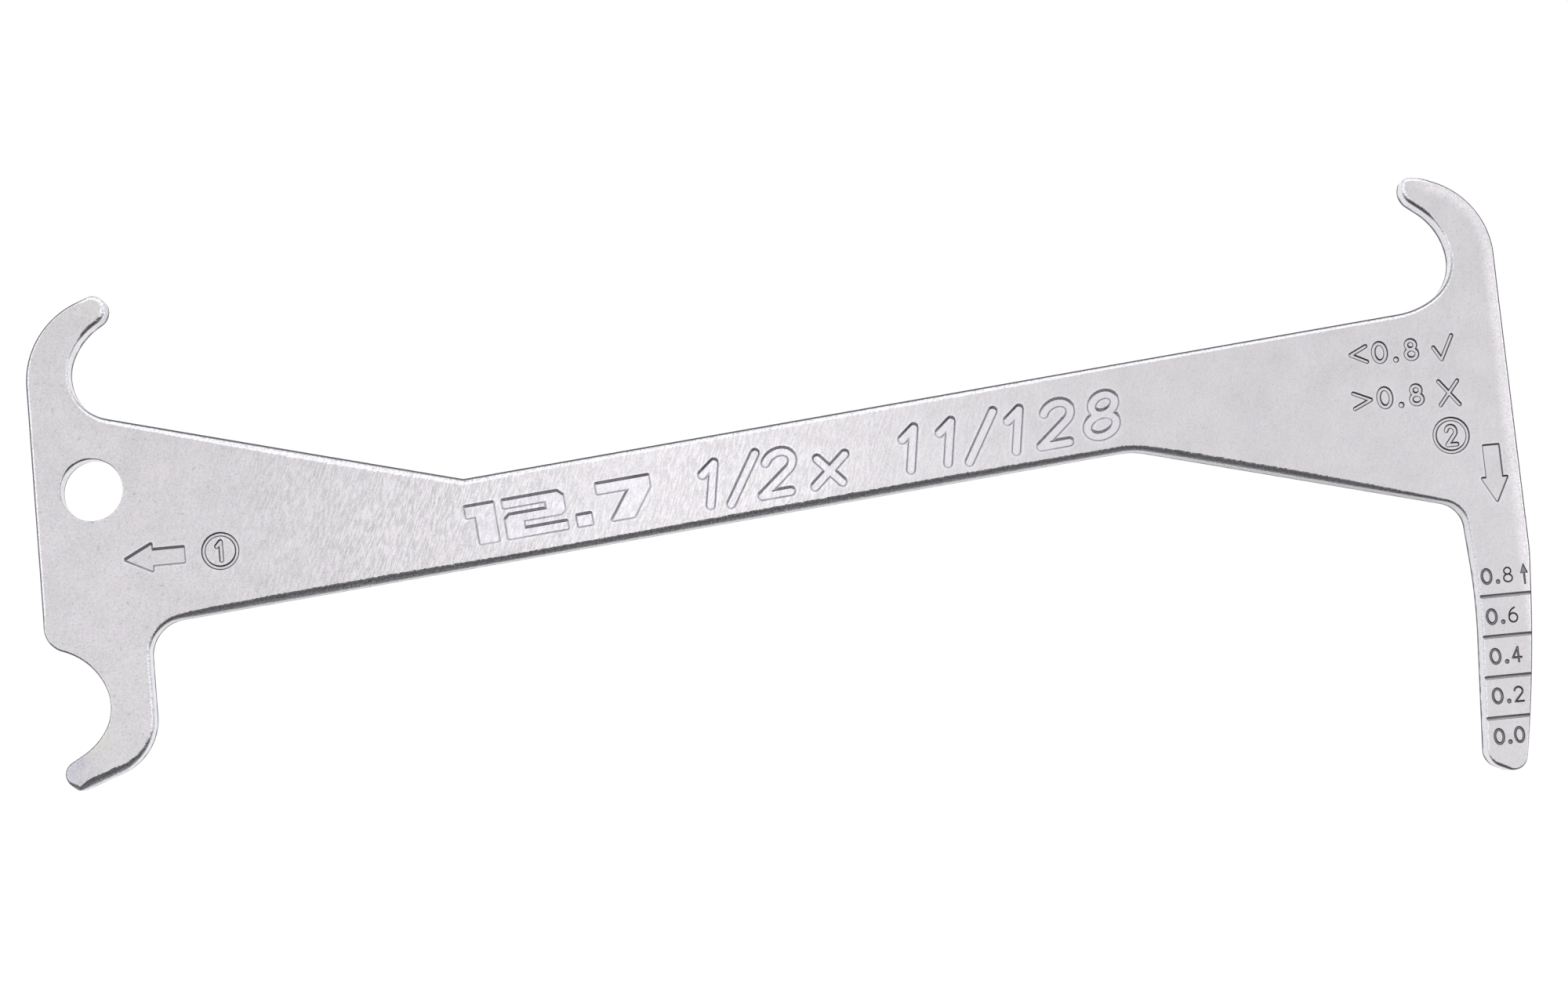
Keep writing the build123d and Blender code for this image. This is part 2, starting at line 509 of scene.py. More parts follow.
@dataclass(frozen=True)
class Core:
    """The middle line of a stroke, or a filled polygon, and how far its edge lies from it.

    Points are a polyline. Filled closes it and takes in what it surrounds. A stroke's round end
    is drawn with cap_points, its two ends among them.
    """

    points: Array
    radius: float
    filled: bool = False
    cap_points: int = 9

    def signed(self, at: Array) -> tuple[Array, Array]:
        """Distance from the stroke's edge, negative inside, and its gradient.

        The distance to a polyline is the least of those to its segments, where the nearest
        point of a segment is the foot of the perpendicular, held between its two ends.

        Args:
            at: points, one row each.

        Returns:
            The distance at each point, and the unit gradient there.
        """
        p = np.vstack([self.points, self.points[:1]]) if self.filled else self.points
        a, d = p[:-1], np.diff(p, axis=0)
        rel = at[:, None] - a[None]
        t = np.clip((rel * d).sum(-1) / (d * d).sum(-1), 0, 1)
        gap = rel - t[..., None] * d
        far = np.linalg.norm(gap, axis=-1)
        k = far.argmin(1)
        rows = np.arange(len(at))
        distance, way = far[rows, k], gap[rows, k]
        way = way / np.maximum(distance, TINY)[:, None]
        if self.filled:
            crosses = (a[None, :, 1] > at[:, None, 1]) != ((a + d)[None, :, 1] > at[:, None, 1])
            tall = np.where(d[:, 1] == 0, TINY, d[:, 1])
            x = a[None, :, 0] + (at[:, None, 1] - a[None, :, 1]) * (d[:, 0] / tall)[None]
            inside = (crosses & (at[:, None, 0] < x)).sum(1) % 2 == 1
            sign = np.where(inside, -1.0, 1.0)
            distance, way = distance * sign, way * sign[:, None]
        return distance - self.radius, way

    def loop(self, offset: float) -> Array:
        """Closed loop at a constant distance outside the stroke's edge.

        Each side is the line shifted along its normals, and each end, or convex corner of a
        filled core, is an arc. An inner corner keeps the ends of its two shifted sides.

        Args:
            offset: distance outside the edge, negative inside it.

        Returns:
            The loop's points.
        """
        r = self.radius + offset
        if not self.filled:
            n = left_of(headings(self.points)) * r
            cap = np.linspace(0, np.pi, self.cap_points)[1:-1, None]
            first = self.points[0] - n[0] * np.cos(cap) + left_of(n[0]) * np.sin(cap)
            last = self.points[-1] + n[-1] * np.cos(cap) - left_of(n[-1]) * np.sin(cap)
            return np.vstack([self.points + n, last, (self.points - n)[::-1], first])
        p = self.points
        area = (p[:, 0] * np.roll(p[:, 1], -1) - np.roll(p[:, 0], -1) * p[:, 1]).sum()
        p = p if area > 0 else p[::-1]
        way = np.roll(p, -1, 0) - p
        way /= np.linalg.norm(way, axis=1)[:, None]
        out = -left_of(way)
        back = np.roll(out, 1, 0)
        angle = np.arctan2(back[:, 0] * out[:, 1] - back[:, 1] * out[:, 0], (back * out).sum(1))
        kept = np.stack([back, back, out, out], axis=1)
        fan = np.linspace(0, 1, kept.shape[1])[None] * np.maximum(angle, 0)[:, None]
        arc = back[:, None] * np.cos(fan)[..., None] + left_of(back)[:, None] * np.sin(fan)[..., None]
        ways = np.where((angle < 0)[:, None, None], kept, arc)
        return (p[:, None] + r * ways).reshape(-1, 2)


@dataclass(frozen=True)
class Stamp:
    """How deep a group of marks is, how wide its walls are, and how dark and how bright it is.

    The surface falls by the depth over the wall's width as a smooth step of the distance from
    the stroke's edge, and inward is the share of the wall that lies inside that edge. How dark
    the stroke's floor is comes from its own dark fill, and how dark its walls are is painted
    shade. A painted highlight lies as a bright line just outside the wall, and another can
    brighten the floor.
    """

    depth: float
    wall: float
    stained: float = 0.0
    inward: float = 0.5
    painted_wall_shade: float = 0.9
    painted_halo: float = 0.0
    painted_floor_highlight: float = 0.0
    halo_gap: float = 0.07
    halo_width: float = 0.05
    wall_rows: int = 4

    @property
    def top(self) -> float:
        """Distance outside the stroke's edge at which its wall begins."""
        return self.wall * (1 - self.inward)

    @property
    def levels(self) -> tuple[float, ...]:
        """Distances from the edge at which the mesh has a line."""
        outer = (self.top + 2 * self.halo_gap, self.top + self.halo_gap) if self.painted_halo else ()
        return (*outer, *np.linspace(self.top, -self.wall * self.inward, self.wall_rows))

    def drop(self, distance: Array) -> tuple[Array, Array]:
        """Depth below the face at these distances, and its slope."""
        t = np.clip((self.top - distance) / self.wall, 0, 1)
        return self.depth * smooth(t), -self.depth * 6 * t * (1 - t) / self.wall

    def shine(self, distance: Array) -> Array:
        """Painted highlight on the face at these distances: a bell just outside the wall."""
        off = distance - self.top - self.halo_gap
        return self.painted_halo * np.exp(-((off / self.halo_width) ** 2))


def ellipse(cx: float, cy: float, rx: float, ry: float, start: float, end: float) -> Array:
    """Points along an ellipse's arc, from one angle to the other, in degrees.

    Args:
        cx: the centre's x.
        cy: the centre's y.
        rx: the radius along x.
        ry: the radius along y.
        start: the first angle.
        end: the last angle.

    Returns:
        The points, one row each.
    """
    step, fewest = 13, 5
    n = max(fewest, int(abs(end - start) / step) + 1)
    w = np.radians(np.linspace(start, end, n))
    return np.c_[cx + rx * np.cos(w), cy + ry * np.sin(w)]


def line(*xy: float) -> Array:
    """A straight stroke's two ends."""
    return np.array(xy, float).reshape(-1, 2)


# Plain numerals and signs, each in a box of width 1 and height 1, as the strokes' middle lines
GLYPHS: dict[str, tuple[Array, ...]] = {
    "0": (ellipse(0.5, 0.5, 0.5, 0.5, 90, 450),),
    "1": (line(0.12, 0.76, 0.58, 1.0), line(0.58, 1.0, 0.58, 0.0)),
    "2": (
        ellipse(0.5, 0.72, 0.47, 0.28, 168, -38),
        line(0.870, 0.548, 0.02, 0.0),
        line(0.02, 0.0, 1.0, 0.0),
    ),
    "4": (line(0.66, 1.0, 0.0, 0.3), line(0.0, 0.3, 1.0, 0.3), line(0.66, 1.0, 0.66, 0.0)),
    "6": (ellipse(0.5, 0.31, 0.48, 0.31, 90, 450), ellipse(0.86, 0.34, 0.84, 0.66, 98, 182)),
    "7": (line(0.0, 1.0, 1.0, 1.0), line(1.0, 1.0, 0.34, 0.0)),
    "8": (ellipse(0.5, 0.765, 0.4, 0.235, -90, 270), ellipse(0.5, 0.265, 0.5, 0.265, 90, 450)),
    ".": (line(0.5, 0.0, 0.5, 0.02),),
    "/": (line(0.0, -0.06, 1.0, 1.06),),
    "x": (line(0.0, 0.0, 1.0, 0.66), line(0.0, 0.66, 1.0, 0.0)),
}


@dataclass(frozen=True)
class Lettering:
    """Size and slant of a row of numerals, by the middle lines of their strokes."""

    width: float
    height: float
    stroke: float
    slant: float = 0.0
    slope: float = 0.0

    def place(self, sign: str, x: float, y: float, wide: float = 1.0) -> list[Core]:
        """One numeral, centred.

        Args:
            sign: the numeral or sign.
            x: the middle of its box.
            y: the middle of its box.
            wide: its width as a share of a full numeral's.

        Returns:
            The strokes, sheared by the slant and then turned by the slope.
        """
        turn = np.radians(self.slope)
        spin = np.array([[np.cos(turn), np.sin(turn)], [-np.sin(turn), np.cos(turn)]])
        cores = []
        for stroke in GLYPHS[sign]:
            p = (stroke - 0.5) * (self.width * wide, self.height)
            p = p + np.c_[p[:, 1] * self.slant, np.zeros(len(p))]
            cores.append(Core(p @ spin + (x, y), self.stroke / 2))
        return cores


def polygon(radius: float, *xy: float) -> Core:
    """A filled polygon whose edge lies the radius outside these points."""
    return Core(np.array(xy, float).reshape(-1, 2), radius, filled=True)


def arrow(tip: float, neck: float, tail: float, head: float, shaft: float) -> tuple[Array, Array]:
    """Corners of an arrow's outline.

    Args:
        tip: where its point lies along its axis.
        neck: where the head meets the shaft.
        tail: where the shaft ends.
        head: half the head's width.
        shaft: half the shaft's width.

    Returns:
        The corners' positions along the axis and beside it.
    """
    along = np.array([tip, neck, neck, tail, tail, neck, neck])
    beside = np.array([0.0, head, shaft, shaft, -shaft, -shaft, -head])
    return along, beside


def turned(cores: list[Core], x: float, y: float, slope: float) -> list[Core]:
    """Cores turned by the slope in degrees about the origin and then shifted to x, y.

    Args:
        cores: the cores.
        x: the shift along x.
        y: the shift along y.
        slope: the turn in degrees.

    Returns:
        New cores of the same strokes.
    """
    w = np.radians(slope)
    spin = np.array([[np.cos(w), np.sin(w)], [-np.sin(w), np.cos(w)]])
    return [Core(c.points @ spin + (x, y), c.radius, c.filled) for c in cores]


@dataclass(frozen=True)
class Marks:
    """Everything that is coined into the front face, in five kinds of stamp and the lines.

    Levels are the middles of the lines across the probe, limits are the heights of the two
    limits, and row is that of the left arrow and the ringed numerals. The two sizes start on
    the bar at their own points and follow its slope in degrees. A reading is its height, the
    middles of its two digits, the second digit and that digit's stroke. A line's dark fill is worn
    off by the worn share, from worn_from below its middle over worn_over.
    """

    # Darkened walls of the marks are painted shade, and the bright lines round them and on the size
    # numerals' floors are painted highlights.
    signs: Stamp = Stamp(depth=0.15, wall=0.15, painted_wall_shade=1.0, painted_halo=0.6)
    left_arrow: Stamp = Stamp(depth=0.24, wall=0.26, painted_wall_shade=0.55, painted_halo=0.9)
    right_arrow: Stamp = Stamp(depth=0.16, wall=0.17, painted_wall_shade=1.0, painted_halo=0.9)
    sizes: Stamp = Stamp(depth=0.24, wall=0.26, painted_wall_shade=0.35, painted_halo=0.9, painted_floor_highlight=0.6)
    scale: Stamp = Stamp(depth=0.10, wall=0.11, stained=0.76, inward=0.78, painted_wall_shade=1.0)
    lines: Stamp = Stamp(depth=0.10, wall=0.09, stained=0.9, inward=0.7)
    levels: tuple[float, ...] = (-20.16, -23.60, -27.04, -30.48)
    line_width: float = 0.30
    worn_share: float = 0.55
    worn_from: float = 0.01
    worn_over: float = 0.06
    margin: float = 0.25
    row: float = -6.15
    ring_radius: float = 1.42
    pen: float = 0.14
    limits: tuple[float, float] = (1.53, -2.40)
    probe_arrow: float = 118.53
    arrow_round: float = 0.08
    bar_slope: float = 4.7
    block_start: tuple[float, float] = (31.15, -6.03)
    slanted_start: tuple[float, float] = (52.4, -4.36)
    readings: tuple[tuple[float, float, float, str, float], ...] = (
        (-18.46, 116.80, 118.62, "8", 0.12), (-21.90, 116.83, 118.66, "6", 0.13),
        (-25.28, 116.74, 118.58, "4", 0.18), (-28.63, 116.52, 118.34, "2", 0.16),
        (-32.05, 116.25, 117.98, "0", 0.22),
    )

    def sign_cores(self) -> list[Core]:
        """The two limits with their signs, a tick and a cross, and a ringed numeral an arrow.

        Returns:
            The strokes' cores.
        """
        digits = Lettering(width=1.06, height=1.58, stroke=0.32)
        dots = Lettering(width=1.06, height=1.52, stroke=0.42)
        cores = []
        for y in self.limits:
            cores += digits.place("0", 109.96, y)
            cores += dots.place(".", 111.31, y)
            cores += digits.place("8", 112.69, y, 0.9)
        under = (line(107.45, 1.53, 108.80, 2.18), line(107.45, 1.53, 108.80, 0.84))
        over = (line(108.74, -2.46, 107.30, -1.80), line(108.74, -2.46, 107.30, -3.12))
        tick = (line(114.62, 1.52, 115.22, 0.46), line(115.22, 0.46, 116.28, 2.44))
        cross = (line(114.70, -1.42, 116.30, -3.54), line(116.32, -1.50, 114.66, -3.48))
        cores += [Core(stroke, self.pen) for stroke in (*under, *over, *tick, *cross)]
        for sign, x, wide in (("1", 10.35, 0.72), ("2", 115.25, 0.78)):
            cores += digits.place(sign, x, self.row, wide)
            ring = ellipse(x, self.row, self.ring_radius, self.ring_radius, 90, 450)
            cores.append(Core(ring, self.pen))
        return cores

    def arrow_cores(self) -> tuple[Core, Core]:
        """The two arrows: one points along the chain, and one down the probe.

        Returns:
            The left arrow's core and the right one's.
        """
        along, beside = arrow(tip=2.40, neck=4.60, tail=7.28, head=1.12, shaft=0.62)
        left = np.c_[along, self.row + beside]
        along, beside = arrow(tip=-12.08, neck=-10.10, tail=-7.32, head=1.06, shaft=0.64)
        right = np.c_[self.probe_arrow - beside, along]
        return Core(left, self.arrow_round, filled=True), Core(right, self.arrow_round, filled=True)

    def size_cores(self) -> list[Core]:
        """Chain sizes on the bar: the pitch in block numerals, then a slanted inch size.

        A block numeral's corners are measured from where the first starts, along the bar.

        Returns:
            The numerals' cores.
        """
        r, top = 0.12, 1.60
        one = polygon(r, 0.1, top, 2.4, top, 2.4, -top, 0.9, -top, 0.9, 0.75, 0.1, 0.75)
        two = polygon(r, 3.3, top, 7.9, top, 8.3, 1.2, 8.3, 0.0, 7.95, -0.26, 4.7, -0.26,
                      4.7, -1.04, 8.3, -1.04, 8.3, -top, 3.3, -top, 3.3, 0.0, 3.65, 0.30,
                      6.9, 0.30, 6.9, 1.04, 3.3, 1.04)
        dot = polygon(r, 9.3, -0.75, 10.4, -0.75, 10.4, -top, 9.3, -top)
        seven = polygon(r, 11.3, top, 15.7, top, 15.7, 0.7, 14.0, -top, 12.2, -top, 14.05, 0.85,
                        11.3, 0.85)
        cores = turned([one, two, dot, seven], *self.block_start, self.bar_slope)
        thin = Lettering(width=2.5, height=3.5, stroke=0.72, slant=0.25, slope=self.bar_slope)
        row = (("1", 51.9, 0.8), ("/", 54.7, 0.7), ("2", 57.7, 1.0), ("x", 62.2, 0.95),
               ("1", 69.1, 0.8), ("1", 72.3, 0.8), ("/", 75.2, 0.7), ("1", 78.2, 0.8),
               ("2", 81.7, 1.0), ("8", 85.7, 1.0))
        rise = np.tan(np.radians(self.bar_slope))
        start, base = self.slanted_start
        for sign, x, wide in row:
            cores += thin.place(sign, x, base + (x - start) * rise, wide)
        return cores

    def scale_cores(self) -> list[Core]:
        """Readings down the probe, in percent, and the small arrow beside the first.

        Returns:
            The readings' cores and the arrow's.
        """
        digits = Lettering(width=0.79, height=1.20, stroke=0.23)
        dots = Lettering(width=0.72, height=1.06, stroke=0.38)
        cores = []
        for y, first, second, sign, stroke in self.readings:
            last = Lettering(width=0.80, height=1.22, stroke=stroke)
            cores += digits.place("0", first, y, 0.95 if sign == "0" else 1.0)
            cores += dots.place(".", (first + second) / 2 + 0.02, y)
            cores += last.place(sign, second, y, 0.92)
        cores.append(Core(line(120.02, -19.32, 120.03, -18.35), 0.09))
        cores.append(polygon(0.03, 119.73, -18.42, 120.33, -18.42, 120.03, -17.66))
        return cores

    def groups(self) -> list[tuple[Stamp, list[Core]]]:
        """Each stamp with its cores, apart from the lines across the probe.

        Returns:
            Pairs of a stamp and its cores.
        """
        left, right = self.arrow_cores()
        return [
            (self.signs, self.sign_cores()),
            (self.left_arrow, [left]),
            (self.right_arrow, [right]),
            (self.sizes, self.size_cores()),
            (self.scale, self.scale_cores()),
        ]

    def line_levels(self) -> Array:
        """Heights at which the mesh has an edge along a line's walls.

        Returns:
            Heights in falling order.
        """
        offsets = np.array(self.lines.levels)
        half = self.line_width / 2
        rows = [np.concatenate([y + half + offsets, y - half - offsets[::-1]]) for y in self.levels]
        return np.concatenate(rows)

    def line_drop(self, y: Array) -> tuple[Array, Array, Array]:
        """Depth of the lines across the probe at these heights.

        Args:
            y: heights.

        Returns:
            The depth, its slope with y, and how much dark fill the surface has.
        """
        off = y[:, None] - np.array(self.levels)[None]
        k = np.abs(off).argmin(1)
        near = off[np.arange(len(y)), k]
        depth, slope = self.lines.drop(np.abs(near) - self.line_width / 2)
        worn = 1 - self.worn_share * smooth((-near - self.worn_from) / self.worn_over)
        return depth, slope * np.sign(near), worn * depth / self.lines.depth

    def relief(self, at: Array, probe: Array) -> dict[str, Array]:
        """Depth, slope, darkening and painted highlight of the marks at points of the front face.

        A core is measured only from points within the margin of its wall. A wall gets painted shade
        in full round the middle of its height, and less towards its top and foot.

        Args:
            at: points, one row each.
            probe: which of the points lie on the probe, where the lines are.

        Returns:
            Arrays of the depth, the slope (two columns), the darkening by fill and painted shade, and
            the painted highlight, named as their zones are.
        """
        depth, slope = np.zeros(len(at)), np.zeros((len(at), 2))
        stained, burnished = np.zeros(len(at)), np.zeros(len(at))
        for stamp, cores in self.groups():
            best, way = np.full(len(at), np.inf), np.zeros((len(at), 2))
            for core in cores:
                reach = core.radius + stamp.wall + self.margin
                lo, hi = core.points.min(0) - reach, core.points.max(0) + reach
                near = np.flatnonzero(((at > lo) & (at < hi)).all(1))
                if len(near):
                    d, g = core.signed(at[near])
                    closer = d < best[near]
                    best[near[closer]], way[near[closer]] = d[closer], g[closer]
            fall, steep = stamp.drop(best)
            depth += fall
            slope += np.where(np.isfinite(steep), steep, 0)[:, None] * way
            share = fall / stamp.depth
            # Painted shade on the marks' walls, strongest round the middle of their height
            edge = stamp.painted_wall_shade * np.minimum(6 * share * (1 - share), 1)
            stained = np.maximum(stained, np.maximum(stamp.stained * share, edge))
            # Painted highlights: a bright line round the wall, and a brightened floor
            shine = np.maximum(stamp.shine(best), stamp.painted_floor_highlight * share)
            burnished = np.maximum(burnished, shine)
        fall, steep, stain_and_shade_tone = self.line_drop(at[:, 1])
        fall, steep, stain_and_shade_tone = fall * probe, steep * probe, stain_and_shade_tone * probe
        depth = np.maximum(depth, fall)
        slope[:, 1] += steep
        return {"depth": depth, "slope": slope, "stained": np.maximum(stained, stain_and_shade_tone),
                "burnished": burnished * (1 - stain_and_shade_tone)}


# Mesh


@dataclass
class Surface:
    """A mesh in the making: points with a normal at each face corner, and named shares."""

    points: list[Array] = field(default_factory=list)
    faces: list[Array] = field(default_factory=list)
    normals: list[Array] = field(default_factory=list)
    shares: dict[Zone, list[Array]] = field(default_factory=lambda: {z: [] for z in Zone})
    count: int = 0

    def add_points(self, points: Array, **shares: Array) -> Array:
        """Adds points, and returns their numbers.

        Args:
            points: one row each, in millimetres.
            shares: values for some zones, by the zone's name in lower case.

        Returns:
            The number of each point.
        """
        self.points.append(points)
        for zone in Zone:
            given = shares.get(zone.value)
            self.shares[zone].append(np.zeros(len(points)) if given is None else given)
        numbers = np.arange(self.count, self.count + len(points))
        self.count += len(points)
        return numbers

    def add_faces(self, faces: Array, normals: Array) -> None:
        """Adds faces with one normal a corner.

        Args:
            faces: rows of point numbers, counter-clockwise seen from outside.
            normals: one unit vector for each corner of each face.
        """
        self.faces.append(faces)
        self.normals.append(normals.reshape(-1, 3))

    def build(self, name: str) -> bpy.types.Object:
        """Writes the mesh in metres, with its normals and zones.

        Args:
            name: the object's and the mesh's name.

        Returns:
            The object.
        """
        mesh = bpy.data.meshes.new(name)
        points = np.vstack(self.points) * MM
        corners = np.concatenate([f.ravel() for f in self.faces])
        totals = np.concatenate([np.full(len(f), f.shape[1]) for f in self.faces])
        mesh.vertices.add(len(points))
        mesh.vertices.foreach_set("co", points.astype(np.float32).ravel())
        mesh.loops.add(len(corners))
        mesh.loops.foreach_set("vertex_index", corners.astype(np.int32))
        mesh.polygons.add(len(totals))
        mesh.polygons.foreach_set(
            "loop_start", np.concatenate([[0], np.cumsum(totals)[:-1]]).astype(np.int32)
        )
        mesh.update(calc_edges=True)
        mesh.validate()
        mesh.polygons.foreach_set("use_smooth", np.ones(len(totals), bool))
        mesh.normals_split_custom_set(np.vstack(self.normals).tolist())
        for zone, values in self.shares.items():
            mesh.attributes.new(zone.value, "FLOAT", "POINT").data.foreach_set(
                "value", np.concatenate(values).astype(np.float32)
            )
        mesh.update()
        obj = bpy.data.objects.new(name, mesh)
        bpy.context.scene.collection.objects.link(obj)
        return obj


@dataclass(frozen=True)
class EdgeProfile:
    """Section of a punched edge, from the roll's border on the face down to the back.

    The roll starts with a crease: at the share u = sin t of its width w, z = top - k w (c u +
    (1 - c)(1 - cos t)), a slope and a quarter of an ellipse added up. Under it the wall shows
    burnish and is straight, most so at the height named straight under the roll, then torn and
    slightly drawn in, and it ends in a broken or a square back edge. The rolled zone rises over
    the onset of sin t. A dark line of painted shade follows the roll's foot: from the outline it
    reaches inwards by line_reach plus line_growth times the roll's width, at most by the share
    line_most of that width, and it fades over line_fade. Painted shade over the torn zone grows
    downwards towards the wall's foot, from the first value of the foot's shade by the second.
    """

    thickness: float
    steepness: float
    burnished_to: float
    draw_in: float
    back_break: float
    crease: float = 0.38
    straight: float = 0.12
    onset: float = 0.25
    line_reach: float = 0.14
    line_growth: float = 0.12
    line_most: float = 0.84
    line_fade: float = 0.06
    foot_shade: tuple[float, float] = (0.5, 0.4)
    roll_steps: int = 10
    torn_steps: int = 5

    @property
    def torn_run(self) -> Array:
        """Shares of the way down the torn zone, one a row under the tear."""
        return np.linspace(0, 1, self.torn_steps + 1)[1:]

    @property
    def turns(self) -> Array:
        """The angle t at the roll's points."""
        return np.linspace(0, np.pi / 2, self.roll_steps + 1)

    def section(self, width: Array, tear: Array) -> tuple[Array, Array]:
        """The section at stations along an edge.

        Args:
            width: the roll's width at each station.
            tear: the height at which the burnished zone ends there.

        Returns:
            The inset from the outline and the height, stations first and section second.
        """
        t, wide, tear = self.turns, width[:, None], tear[:, None]
        fall = self.crease * np.sin(t) + (1 - self.crease) * (1 - np.cos(t))
        roll = self.thickness - self.steepness * wide * fall
        u = self.torn_run
        torn = tear + (self.back_break - tear) * u
        drawn = self.draw_in * np.concatenate([np.zeros(2), np.sin(np.pi * u / 2)])
        inset = wide * (1 - np.sin(t))
        height = np.hstack([roll, roll[:, -1:] - self.straight, tear, torn])
        return np.hstack([inset, np.broadcast_to(drawn, (len(wide), len(drawn)))]), height

    def zones(self, inset: Array, dark: Array, wall_shade: Array) -> dict[str, Array]:
        """Shares of the zones over a section.

        Args:
            inset: the section's insets, stations first.
            dark: how dark the painted shade line at the roll's foot is at each station.
            wall_shade: how much shade is painted on the wall under it there.

        Returns:
            Arrays of the inset's shape, named as the zones are.
        """
        u = self.torn_run
        roll, torn = np.zeros(self.roll_steps), np.zeros(self.torn_steps)
        # The values written out are those of the roll's foot, the row under it and the tear
        rows = {
            "rolled": (smooth(np.sin(self.turns) / self.onset), (0.8, 0.5), torn),
            "burnished": (roll, (0.3, 1.0, 0.8), torn),
            "torn": (roll, (0.0, 0.0, 0.25), 0.6 + 0.4 * np.sin(np.pi * u)),
            # Painted shade, growing towards the wall's foot
            "foot": (roll, (0.0, 0.0, 0.0), self.foot_shade[0] + self.foot_shade[1] * u),
            "wall": (roll, (0.5, 1.0, 1.0), torn + 1),
        }
        shares = {k: np.broadcast_to(np.concatenate(v), inset.shape) for k, v in rows.items()}
        # Painted shade: a dark line inwards from the outline along the roll's foot
        width = inset[:, :1]
        reach = np.minimum(self.line_reach + self.line_growth * width, self.line_most * width)
        on_roll = np.arange(inset.shape[1]) <= self.roll_steps
        line_share = np.where(on_roll, smooth((reach - inset) / self.line_fade), 0.0)
        # Painted shade on the wall, darkest at its foot
        wall = np.maximum(shares.pop("foot"), wall_shade[:, None] * shares.pop("wall"))
        return shares | {"stained": np.maximum(dark[:, None] * line_share, wall)}


def grid_normals(grid: Array) -> Array:
    """Unit normals of a grid that closes on itself along its first axis.

    The normal is the cross product of the central differences along the two axes.

    Args:
        grid: points, with columns first and section second.

    Returns:
        One unit normal a point, pointing outwards for a clockwise path.
    """
    along = np.roll(grid, -1, 0) - np.roll(grid, 1, 0)
    down = np.gradient(grid, axis=1)
    n = np.cross(along, down)
    return n / np.linalg.norm(n, axis=2)[..., None]


# Finish


